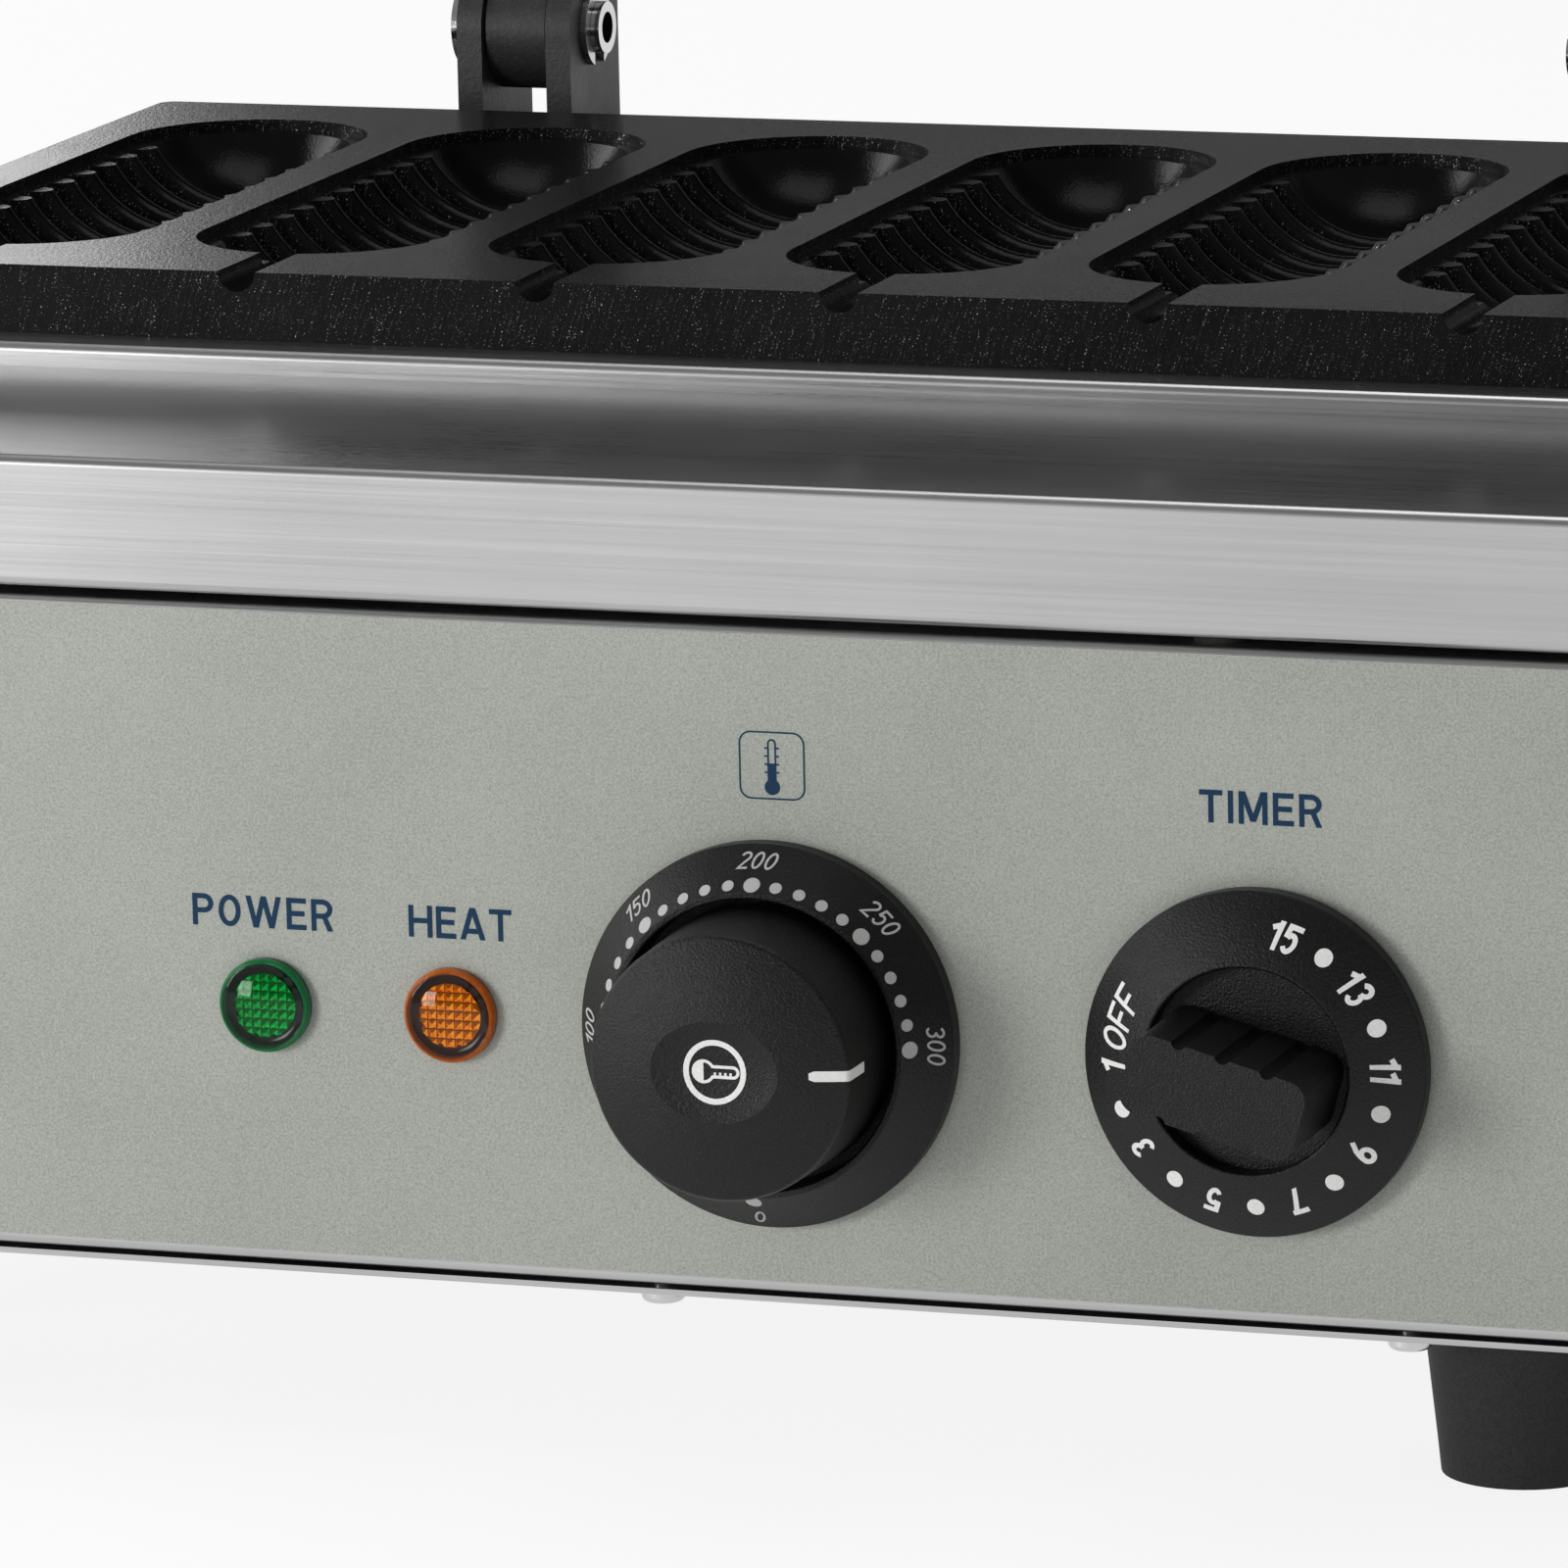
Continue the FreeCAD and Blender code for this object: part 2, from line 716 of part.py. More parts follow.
def make_control_screws(x, lift):
    stack = lift + overlay_thick + sheet
    seats = [Vector(x + offset, face_y - lift, control_z) for offset in body_screw_xs]
    return group([screw(screw_m4, seat, back, stack + thread_depth - loose) for seat in seats])


def make_spindle(x, reach):
    start = Vector(x, face_y - reach, control_z)
    end = Vector(x, panel_y + sheet + spindle_reach, control_z)
    return rod(start, end, spindle_diameter / 2)


def spindle_bore(x, reach):
    end = Vector(x, face_y - reach - loose, control_z)
    return rod(Vector(x, face_y, control_z), end, spindle_diameter / 2 + fit)


def make_bezel():
    rim = bezel_diameter / 2
    bore = spindle_hole / 2
    ring = turned([(rim, 0), (rim, bezel_wall), (bezel_crest_radius, bezel_crest),
                   (bezel_inner_radius, bezel_crest), (bezel_inner_radius, bezel_floor),
                   (bore, bezel_floor), (bore, 0)], thermostat_x, control_z)
    ring = ring.makeFillet(bezel_edge, ring_edges(ring, bezel_crest))
    holes = [screw_hole(screw_m4, Vector(thermostat_x + offset, face_y, control_z), front, bezel_floor)
             for offset in body_screw_xs]
    return ring.cut(holes)


thermostat_reach = knob_face - 2 * knob_dish_depth - spindle_diameter
timer_reach = timer_grip_face - spindle_diameter


def make_thermostat_knob():
    # The face is a dome, highest where it meets the short sides of the finger dish
    ring = knob_dish_width / 2
    edge_height = dome_height(knob_face_radius, ring, knob_face, knob_dome)
    draft = (knob_base_radius - knob_face_radius) / (edge_height - knob_seat)
    blank_height = knob_face + knob_edge
    blank_radius = knob_base_radius - draft * (blank_height - knob_seat)
    knob = turned([(0, knob_seat), (knob_base_radius, knob_seat), (blank_radius, blank_height), (0, blank_height)],
                  thermostat_x, control_z)
    knob = domed(knob, thermostat_x, ring, knob_face, knob_dome)
    knob = knob.makeFillet(knob_edge, ring_edges(knob, edge_height))
    # The dish is the cap of a stretched ball that meets the face at half a right angle
    rim = math.sin(math.pi / 4)
    stretch = FreeCAD.Matrix()
    stretch.scale(knob_dish_length / 2 / rim, knob_dish_depth / (1 - rim), knob_dish_width / 2 / rim)
    ball = Part.makeSphere(1).transformGeometry(stretch)
    lift = knob_dish_depth / (1 - rim) * rim
    dish = ball.translated(Vector(thermostat_x, face_y - knob_face - lift, control_z))
    return knob.cut([dish, spindle_bore(thermostat_x, thermostat_reach)])


def make_timer_knob():
    outer = timer_diameter / 2
    hub = spindle_hole / 2
    ceiling = timer_recess_floor - timer_skin
    disc = turned([(0, timer_lift), (hub, timer_lift), (hub, ceiling), (timer_hollow_radius, ceiling),
                   (timer_hollow_radius, timer_lift), (outer, timer_lift), (outer, timer_grip_face),
                   (timer_recess_radius, timer_grip_face), (timer_recess_radius, timer_recess_floor),
                   (0, timer_recess_floor)], timer_x, control_z)
    disc = domed(disc, timer_x, outer, timer_wall, timer_dome)
    brink = dome_height(timer_recess_radius, outer, timer_wall, timer_dome)
    disc = disc.makeFillet(timer_edge, ring_edges(disc, timer_wall) + ring_edges(disc, brink))
    half = timer_grip_length / 2
    side = timer_grip_width / 2
    grip = block(timer_x - half, timer_x + half, face_y - timer_grip_face, face_y - timer_recess_floor,
                 control_z - side, control_z + side)
    grip = grip.makeFillet(side / 2, [e for e in grip.Edges if e.BoundBox.YLength > timer_grip_width])
    flutes = []
    reach = side + timer_flute_radius - timer_flute_depth
    for i in (-1, 0, 1):
        for edge in (-reach, reach):
            foot = Vector(timer_x + i * timer_flute_pitch, face_y - timer_recess_floor, control_z + edge)
            flutes.append(Part.makeCylinder(timer_flute_radius, timer_grip_face, foot, front))
    grip = grip.cut(flutes).rotated(Vector(timer_x, face_y, control_z), back, timer_grip_turn)
    return joined(disc, grip).cut(spindle_bore(timer_x, timer_reach))


def make_lens(x):
    stem = lamp_stem / 2
    lens = turned([(0, -lamp_stem_length), (stem, -lamp_stem_length), (stem, 0), (lamp_diameter / 2, 0),
                   (lamp_diameter / 2, lamp_rim), (lamp_crown, lamp_proud), (0, lamp_proud)], x, control_z)
    lens = lens.makeFillet(lamp_rim / 2, ring_edges(lens, lamp_rim))
    return lens.makeFillet(lamp_rim / 2, ring_edges(lens, lamp_proud))


def make_lamp_body(x):
    start = Vector(x, panel_y + sheet + lamp_clip, control_z)
    socket = lamp_stem_length - overlay_thick - sheet - lamp_clip + loose
    body = Part.makeCylinder(lamp_body_diameter / 2, lamp_body_length, start, back)
    return body.cut(Part.makeCylinder(lamp_stem / 2 + fit, socket, start, back))


def make_lamp_clips():
    clips = []
    for x in (power_lamp_x, heat_lamp_x):
        seat = Vector(x, panel_y + sheet, control_z)
        ring = Part.makeCylinder(lamp_diameter / 2, lamp_clip, seat, back)
        clips.append(ring.cut(Part.makeCylinder(lamp_stem / 2 + fit, lamp_clip, seat, back)))
    return group(clips)


# Wiring fittings

def make_terminal_block():
    width, depth, height = terminal_size
    y = casing_rear - terminal_from_rear
    body = block(terminal_x - width / 2, terminal_x + width / 2, y, y + depth,
                 z_bottom_top, z_bottom_top + height)
    ways = [Vector(terminal_x + i * width / 4, y, z_bottom_top + height / 2) for i in (-1, 0, 1)]
    return body.cut([Part.makeCylinder(terminal_bore / 2, depth, way, back) for way in ways])


def make_gland():
    shank = sheet + gland_nut_height + 2 * sheet
    thread = Part.makeCylinder(gland_thread / 2, shank, gland_place, front)
    hexed = placed(hexagon(gland_across, gland_hex), gland_place, back)
    dome = Part.makeCylinder(gland_across / 2 - sheet, gland_dome, gland_place + back * gland_hex, back)
    dome = dome.makeFillet(2 * bend, dome.Edges[:1])
    length = shank + gland_hex + gland_dome
    bore = Part.makeCylinder(gland_cable / 2, length, gland_place + front * shank, back)
    return joined(thread, hexed, dome).cut(bore)


# Hinge

ear_inner = arm_thick / 2 + side_play
ear_outer = ear_inner + ear_thick
stop_y = hinge_y + arm_height / 2 + loose


def make_bracket(x):
    base = block(x - bracket_width / 2, x + bracket_width / 2, hinge_y - bracket_length / 2,
                 hinge_y + bracket_length / 2, z_deck, z_deck + bracket_base)
    pieces = []
    for x0, x1 in ((x - ear_outer, x - ear_inner), (x + ear_inner, x + ear_outer)):
        pieces.append(block(x0, x1, hinge_y - ear_radius, stop_y + stop_web, z_deck, hinge_z))
        pieces.append(rod(Vector(x0, hinge_y, hinge_z), Vector(x1, hinge_y, hinge_z), ear_radius))
        pieces.append(block(x0, x1, hinge_y, stop_y + stop_web, hinge_z, hinge_z + stop_high))
    pieces.append(block(x - ear_outer, x + ear_outer, stop_y, stop_y + stop_web,
                        hinge_z + stop_low, hinge_z + stop_high))
    pin = rod(Vector(x - ear_outer, hinge_y, hinge_z), Vector(x + ear_outer, hinge_y, hinge_z),
              hinge_pin_diameter / 2 + fit)
    holes = [screw_hole(bolt_m5, place, down, bracket_base) for place in hinge_bolt_places]
    return joined(base, *pieces).cut([pin] + holes)


def make_pins():
    radius = hinge_pin_diameter / 2
    pins = []
    for x in hinge_xs:
        out = right * math.copysign(1, x)
        axis = Vector(x, hinge_y, hinge_z)
        tail = axis - out * (ear_outer + hinge_pin_tail)
        head = axis + out * ear_outer
        end = head + out * hinge_pin_head
        groove = axis - out * ear_outer
        ring = rod(groove, groove - out * (clip_thick + 2 * fit), radius + fit)
        ring = ring.cut(rod(groove, groove - out * (clip_thick + 2 * fit), radius - clip_groove))
        pin = joined(rod(tail, head, radius), rod(head, end, radius + hinge_pin_head))
        pins.append(pin.cut([rod(tail, end, hinge_pin_bore / 2), ring]))
    return group(pins)


def make_clips():
    radius = hinge_pin_diameter / 2
    clips = []
    for x in hinge_xs:
        out = right * math.copysign(1, x)
        seat = Vector(x, hinge_y, hinge_z) - out * (ear_outer + fit)
        end = seat - out * clip_thick
        ring = rod(seat, end, radius + clip_width).cut(rod(seat, end, radius - clip_groove + fit))
        x0, x1 = sorted((seat.x, end.x))
        mouth = block(x0, x1, hinge_y - radius / 2, hinge_y + radius / 2, hinge_z - 2 * radius, hinge_z)
        clips.append(ring.cut(mouth))
    return group(clips)


def make_arm(x):
    half = arm_thick / 2
    low = hinge_z - arm_height / 2
    pad_rear = lid_rear + arm_pad
    eye = rod(Vector(x - half, hinge_y, hinge_z), Vector(x + half, hinge_y, hinge_z), arm_eye_radius)
    bar = block(x - half, x + half, pad_rear, hinge_y, low, hinge_z + arm_height / 2)
    upright = block(x - half, x + half, pad_rear, pad_rear + arm_upright, low, arm_pad_z + arm_pad_height)
    pad = block(x - arm_pad_width / 2, x + arm_pad_width / 2, lid_rear, pad_rear,
                arm_pad_z, arm_pad_z + arm_pad_height)
    bore = rod(Vector(x - half, hinge_y, hinge_z), Vector(x + half, hinge_y, hinge_z),
               hinge_pin_diameter / 2 + bush_wall + 2 * fit)
    holes = [screw_hole(bolt_m5, place, front, arm_pad) for place in arm_bolt_places]
    return joined(eye, bar, upright, pad).cut([bore] + holes)


def make_bushes():
    half = arm_thick / 2
    bushes = []
    for x in hinge_xs:
        start = Vector(x - half, hinge_y, hinge_z)
        end = Vector(x + half, hinge_y, hinge_z)
        inner = hinge_pin_diameter / 2 + fit
        bushes.append(rod(start, end, inner + bush_wall).cut(rod(start, end, inner)))
    return group(bushes)


# Lid

def make_lid_cover():
    outer = rounded(wide(lid_width, lid_front, lid_rear, z_lid, z_lid_top), lid_corner, bend, lid_bend)
    inner = wide(lid_width - 2 * sheet, lid_front + sheet, lid_rear - sheet, z_lid + sheet, z_lid_top - sheet)
    inner = rounded(inner, lid_corner - sheet, bend - sheet, lid_bend - sheet)
    opening = wide(boss_width + 2 * boss_clearance, boss_y - boss_clearance, boss_rear + boss_clearance,
                   z_lid - sheet, z_lid + 2 * sheet)
    cuts = [inner, rounded(opening, plate_corner)]
    for place in plate_bolt_places:
        seat = Vector(place.x, place.y, z_lid - sheet)
        cuts.append(screw_hole(screw_m4, seat, up, 3 * sheet))
    for place in arm_bolt_places:
        cuts.append(screw_hole(bolt_m5, place, front, arm_pad + 3 * sheet))
    for place in post_places:
        cuts.append(Part.makeCylinder(post_stud / 2 + fit, 3 * sheet, place + front * sheet, back))
    return outer.cut(cuts)


post_end = grip_y + grip_diameter / 2 - post_socket
grip_recess = bolt_m6[2] + loose
grip_bolt_seat = grip_y - grip_diameter / 2 + grip_recess
grip_bolt_length = post_end - grip_bolt_seat + 2 * thread_depth


def make_posts():
    posts = []
    for place in post_places:
        end = Vector(place.x, post_end, place.z)
        collar = Part.makeCylinder(post_flange_diameter / 2, post_flange, place, front)
        stud = Part.makeCylinder(post_stud / 2, sheet + nut_m8[1] + 2 * sheet, place, back)
        bore = Part.makeCylinder(bolt_m6[0] / 2 + fit, 2 * thread_depth + loose, end, back)
        posts.append(joined(rod(place, end, post_diameter / 2), collar, stud).cut(bore))
    return group(posts)


def make_grip():
    half = right * (grip_length / 2)
    centre = Vector(0, grip_y, grip_z)
    grip = rod(centre - half, centre + half, grip_diameter / 2)
    grip = grip.makeFillet(grip_nose, [e for e in grip.Edges if e.BoundBox.XLength < fit])
    cuts = []
    for place in post_places:
        socket_end = Vector(place.x, post_end, place.z)
        cuts.append(Part.makeCylinder(post_diameter / 2 + fit, grip_diameter, socket_end, back))
        cuts.append(Part.makeCylinder(bolt_m6[0] / 2 + fit, grip_diameter, socket_end, front))
        seat = Vector(place.x, grip_bolt_seat, place.z)
        cuts.append(Part.makeCylinder(bolt_m6[1] / 2 + loose, grip_diameter, seat, front))
    return grip.cut(cuts)


def opened(shape):
    return shape.rotated(Vector(0, hinge_y, hinge_z), right, -lid_open_angle)


# All nodes

lower_stack = sheet + tray_sheet
foot_seat = up * (foot_height - foot_web)
foot_stack = foot_web + sheet + nut_m5[1] + 2 * sheet
hinge_stack = bracket_base + sheet + nut_m5[1] + 2 * sheet
arm_stack = arm_pad + sheet + nut_m5[1] + 2 * sheet
plate = make_plate()
base_nodes = {
    "casing": make_casing(),
    "panel_overlay": make_overlay(),
    "deck": make_deck(),
    "rear_panel": make_rear_panel(),
    "rear_screws": group([screw(screw_m4, p, front, 2 * sheet + screw_tail) for p in rear_screw_places]),
    "bottom_cover": make_bottom_cover(),
    "bottom_screws": group([screw(screw_m4, p, up, bottom_gap + 2 * sheet + screw_tail)
                            for p in bottom_screw_places]),
    "deck_spacers": make_deck_spacers(),
    "deck_screws": group([screw(screw_m4, p, up, deck_gap + 2 * sheet + screw_tail)
                          for p in deck_screw_places]),
    "rubber_feet": make_feet(),
    "foot_screws": group([screw(bolt_m5, p + foot_seat, up, foot_stack) for p in foot_places]),
    "foot_nuts": group([nut(nut_m5, p + up * z_bottom_top, up, bolt_m5[0]) for p in foot_places]),
    "lower_plate": plate.cut(bulb_bore()),
    "lower_plate_bolts": make_plate_bolts(lower_stack),
    "lower_element": make_element(),
    "lower_clamp_bars": make_clamp_bars(),
    "lower_clamp_bolts": make_clamp_bolts(),
    "lower_insulation": make_lower_insulation(),
    "heat_tray": make_heat_tray(),
    "thermostat_body": make_control_body(thermostat_x, thermostat_body_size),
    "thermostat_screws": make_control_screws(thermostat_x, bezel_floor),
    "thermostat_bulb": make_bulb(),
    "thermostat_bezel": make_bezel(),
    "timer_body": make_control_body(timer_x, timer_body_size),
    "timer_screws": make_control_screws(timer_x, 0.0),
    "power_lamp_lens": make_lens(power_lamp_x),
    "heat_lamp_lens": make_lens(heat_lamp_x),
    "power_lamp_body": make_lamp_body(power_lamp_x),
    "heat_lamp_body": make_lamp_body(heat_lamp_x),
    "lamp_clips": make_lamp_clips(),
    "terminal_block": make_terminal_block(),
    "cable_gland": make_gland(),
    "gland_nut": nut((gland_across, gland_nut_height), gland_place + front * sheet, front, gland_thread),
    "hinge_bracket_left": make_bracket(-hinge_half_span),
    "hinge_bracket_right": make_bracket(hinge_half_span),
    "hinge_pins": make_pins(),
    "hinge_clips": make_clips(),
    "hinge_bolts": group([screw(bolt_m5, p, down, hinge_stack) for p in hinge_bolt_places]),
    "hinge_nuts": group([nut(nut_m5, p - up * (bracket_base + sheet), down, bolt_m5[0])
                         for p in hinge_bolt_places]),
}
knob_nodes = {
    "thermostat_knob": make_thermostat_knob(),
    "thermostat_spindle": make_spindle(thermostat_x, thermostat_reach),
    "timer_knob": make_timer_knob(),
    "timer_spindle": make_spindle(timer_x, timer_reach),
}
lid_nodes = {
    "lid_cover": make_lid_cover(),
    "upper_plate": flipped(plate),
    "upper_plate_bolts": flipped(make_plate_bolts(sheet)),
    "upper_element": flipped(make_element()),
    "upper_clamp_bars": flipped(make_clamp_bars()),
    "upper_clamp_bolts": flipped(make_clamp_bolts()),
    "upper_insulation": make_upper_insulation(),
    "hinge_arm_left": make_arm(-hinge_half_span),
    "hinge_arm_right": make_arm(hinge_half_span),
    "hinge_bushes": make_bushes(),
    "arm_bolts": group([screw(bolt_m5, p, front, arm_stack) for p in arm_bolt_places]),
    "arm_nuts": group([nut(nut_m5, p + front * (arm_pad + sheet), front, bolt_m5[0])
                       for p in arm_bolt_places]),
    "handle_posts": make_posts(),
    "handle_nuts": group([nut(nut_m8, p + back * sheet, back, post_stud) for p in post_places]),
    "handle_grip": make_grip(),
    "handle_bolts": group([screw(bolt_m6, Vector(p.x, grip_bolt_seat, p.z), back, grip_bolt_length)
                           for p in post_places]),
}
nodes = {**base_nodes, **knob_nodes, **{name: opened(shape) for name, shape in lid_nodes.items()}}

os.makedirs("parts", exist_ok=True)
for name, shape in nodes.items():
    shape.exportStep("parts/" + name + ".step")
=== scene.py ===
import json
import math

import bmesh
import bpy
from mathutils import Matrix, Vector
from mathutils.bvhtree import BVHTree


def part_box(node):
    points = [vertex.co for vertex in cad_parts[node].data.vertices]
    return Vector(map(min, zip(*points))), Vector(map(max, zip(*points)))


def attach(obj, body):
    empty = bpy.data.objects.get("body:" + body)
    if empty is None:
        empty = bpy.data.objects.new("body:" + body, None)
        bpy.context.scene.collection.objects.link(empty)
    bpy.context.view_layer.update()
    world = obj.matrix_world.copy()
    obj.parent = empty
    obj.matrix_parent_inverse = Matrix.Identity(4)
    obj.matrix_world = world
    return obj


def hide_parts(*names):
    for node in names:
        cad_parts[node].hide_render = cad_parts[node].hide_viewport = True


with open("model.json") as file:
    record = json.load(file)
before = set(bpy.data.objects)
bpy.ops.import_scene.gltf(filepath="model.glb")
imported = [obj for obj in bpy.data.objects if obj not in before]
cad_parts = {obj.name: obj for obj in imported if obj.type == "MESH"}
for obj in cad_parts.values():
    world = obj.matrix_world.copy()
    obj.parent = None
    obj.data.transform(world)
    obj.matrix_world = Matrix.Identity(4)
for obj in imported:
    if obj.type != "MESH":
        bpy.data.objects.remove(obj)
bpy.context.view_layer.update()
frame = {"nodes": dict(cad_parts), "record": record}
nodes = frame["nodes"]
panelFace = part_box("panel_overlay")[0][1]
print("frame:", len(nodes), "nodes")


# camera, as the photograph was taken; its distance is from the panel's face
viewpoint = {
    "place": (0.6482, -1.7339, 0.5022),
    "right": (0.94605, 0.32328, -0.02186),
    "up": (-0.04640, 0.20193, 0.97831),
    "back": (0.32068, -0.92451, 0.20604),
    "lens": 263.5,
    "sensor": 36.0,
    "farEnd": 200.0,
}
lens = bpy.data.cameras.new("camera")
lens.sensor_width = viewpoint["sensor"]
lens.lens = viewpoint["lens"]
lens.clip_end = viewpoint["farEnd"]
camera = bpy.data.objects.new("camera", lens)
turn = Matrix((viewpoint["right"], viewpoint["up"], viewpoint["back"])).transposed()
stand = Vector(viewpoint["place"]) + Vector((0, panelFace, 0))
camera.matrix_world = Matrix.Translation(stand) @ turn.to_4x4()
bpy.context.scene.collection.objects.link(camera)
bpy.context.scene.camera = camera
bpy.context.scene.view_settings.view_transform = "Standard"
print("camera set")


# a socket with arithmetic; node() makes any other node
class Wire:
    def __init__(self, tree, socket=None):
        self.tree = tree
        self.socket = socket

    def node(self, kind, settings, sockets, out=0):
        made = self.tree.nodes.new("ShaderNode" + kind)
        for name, value in settings.items():
            if name == "stops":
                ramp = made.color_ramp.elements
                while len(ramp) < len(value):
                    ramp.new(1.0)
                for stop, (place, shade) in zip(ramp, value):
                    stop.position = place
                    stop.color = (*shade, 1.0)
            else:
                setattr(made, name, value)
        for key, value in sockets.items():
            if isinstance(value, Wire):
                self.tree.links.new(value.socket, made.inputs[key])
            else:
                made.inputs[key].default_value = value
        return Wire(self.tree, made.outputs[out] if made.outputs else None)

    def math(self, operation, first, second=0.0):
        return self.node("Math", {"operation": operation}, {0: first, 1: second})

    def __add__(self, other):
        return self.math("ADD", self, other)

    def __radd__(self, other):
        return self.math("ADD", other, self)

    def __sub__(self, other):
        return self.math("SUBTRACT", self, other)

    def __rsub__(self, other):
        return self.math("SUBTRACT", other, self)

    def __mul__(self, other):
        return self.math("MULTIPLY", self, other)

    def __rmul__(self, other):
        return self.math("MULTIPLY", other, self)

    def __abs__(self):
        return self.math("ABSOLUTE", self)


def colour(red, green, blue):
    # screen values 0..255 to linear
    shares = [v / 255 for v in (red, green, blue)]
    return tuple(s / 12.92 if s <= 0.04 else ((s + 0.055) / 1.055) ** 2.4 for s in shares)


def opaque(shade):
    return (*shade, 1.0)


def startFinish(name):
    material = bpy.data.materials.new(name)
    material.use_nodes = True
    material.node_tree.nodes.clear()
    root = Wire(material.node_tree)
    return material, root, root.node("TexCoord", {}, {}, "Object")


def endFinish(root, sockets):
    shader = root.node("BsdfPrincipled", {}, sockets)
    root.node("OutputMaterial", {}, {"Surface": shader})


def stretched(spot, x, y, z):
    return spot.node("VectorMath", {"operation": "MULTIPLY"}, {0: spot, 1: (x, y, z)})


def noise(spot, scale, detail=2.0, rough=0.5):
    return spot.node("TexNoise", {}, {"Vector": spot, "Scale": scale, "Detail": detail, "Roughness": rough})


def ranged(value, low, high, start, end):
    return value.node("MapRange", {}, {0: value, 1: low, 2: high, 3: start, 4: end})


def spread(value, start=0.0, end=1.0):
    # most of a noise lies between these two levels
    return ranged(value, 0.3, 0.7, start, end)


def mixed(amount, first, second):
    first = first if isinstance(first, Wire) else opaque(first)
    second = second if isinstance(second, Wire) else opaque(second)
    return amount.node("Mix", {"data_type": "RGBA"}, {0: amount, 6: first, 7: second}, 2)


def bumped(height, strength, distance):
    return height.node("Bump", {}, {"Strength": strength, "Distance": distance, "Height": height})


def facing(root, axis):
    # how far a face looks along one axis, in the part's own frame
    normal = root.node("TexCoord", {}, {}, "Normal")
    return abs(root.node("SeparateXYZ", {}, {0: normal}, axis))


stainless = {"dark": (0.41, 0.41, 0.41), "light": (0.50, 0.50, 0.50), "rough": (0.25, 0.35),
             "grooves": 1500.0, "grooveLift": 0.10, "drawn": 0.006, "streaks": 220.0, "streakDrawn": 0.03,
             "smudges": 14.0}


def makeStainless():
    look = stainless
    material, root, spot = startFinish("brushedStainless")
    side = ranged(facing(root, "X"), 0.6, 0.8, 0.0, 1.0)
    along = noise(stretched(spot, look["drawn"], 1.0, 1.0), look["grooves"], 3.0, 0.6)
    across = noise(stretched(spot, 1.0, look["drawn"], 1.0), look["grooves"], 3.0, 0.6)
    brush = along * (1.0 - side) + across * side
    streak = noise(stretched(spot, look["streakDrawn"], 1.0, 1.0), look["streaks"])
    smudge = noise(spot, look["smudges"], 3.0, 0.55)
    tone = brush * 0.45 + streak * 0.25 + smudge * 0.3
    base = mixed(spread(tone), look["dark"], look["light"])
    rough = spread(brush * 0.6 + smudge * 0.4, *look["rough"])
    endFinish(root, {"Base Color": base, "Metallic": 1.0, "Roughness": rough,
                     "Normal": bumped(brush, look["grooveLift"], 0.0002)})
    return material


overlayFilm = {"dark": colour(147, 151, 143), "light": colour(180, 183, 175), "grain": 2500.0,
               "clouds": 22.0, "rough": (0.46, 0.60)}


def makeOverlayFilm():
    look = overlayFilm
    material, root, spot = startFinish("overlayFilm")
    grain = noise(spot, look["grain"], 2.0, 0.6)
    speck = noise(spot, look["grain"] * 2.2, 1.0, 0.5)
    cloud = noise(spot, look["clouds"], 3.0)
    tone = grain * 0.6 + speck * 0.25 + cloud * 0.15
    base = mixed(ranged(tone, 0.38, 0.62, 0.0, 1.0), look["dark"], look["light"])
    rough = spread(grain, *look["rough"])
    endFinish(root, {"Base Color": base, "Metallic": 0.2, "Roughness": rough,
                     "Normal": bumped(grain, 0.12, 0.0002)})
    return material


coatedPlate = {"coat": (0.003, 0.003, 0.0032), "worn": (0.007, 0.007, 0.0072),
               "lined": (0.016, 0.016, 0.016), "spark": (0.75, 0.75, 0.75), "rough": (0.14, 0.22),
               "wallRough": 0.26, "shine": 0.07, "lean": 0.34, "marks": 2100.0, "markDrawn": 0.07,
               "pebbles": 1500.0, "hazes": 35.0, "sparks": 4200.0}


def makeCoatedPlate():
    # satin coating on top, slanted cutter marks with bright specks on the machined sides
    look = coatedPlate
    material, root, spot = startFinish("nonStickCoating")
    wall = ranged(facing(root, "Z"), 0.25, 0.5, 1.0, 0.0)
    slant = (1.0, 1.0, -look["lean"])
    sheared = root.node("VectorMath", {"operation": "DOT_PRODUCT"}, {0: spot, 1: slant}, "Value")
    height = root.node("SeparateXYZ", {}, {0: spot}, "Z")
    marksAt = root.node("CombineXYZ", {}, {0: sheared, 1: height * look["markDrawn"], 2: 0.0})
    marks = noise(marksAt, look["marks"], 3.0, 0.65)
    pebble = noise(spot, look["pebbles"], 3.0, 0.6)
    haze = noise(spot, look["hazes"], 3.0)
    dust = noise(spot, look["sparks"], 1.0)
    speck = ranged(dust * 0.75 + marks * 0.25, 0.645, 0.70, 0.0, 1.0) * wall
    coat = mixed(ranged(haze, 0.35, 0.65, 0.0, 1.0), look["coat"], look["worn"])
    lined = mixed(ranged(marks, 0.50, 0.72, 0.0, 0.6) * wall, coat, look["lined"])
    base = mixed(speck, lined, look["spark"])
    relief = marks * wall + pebble * (1.0 - wall)
    rough = spread(haze * 0.5 + pebble * 0.5, *look["rough"]) + wall * look["wallRough"]
    endFinish(root, {"Base Color": base, "Metallic": speck, "Roughness": rough,
                     "Specular IOR Level": look["shine"], "Normal": bumped(relief, 0.4, 0.00016)})
    return material


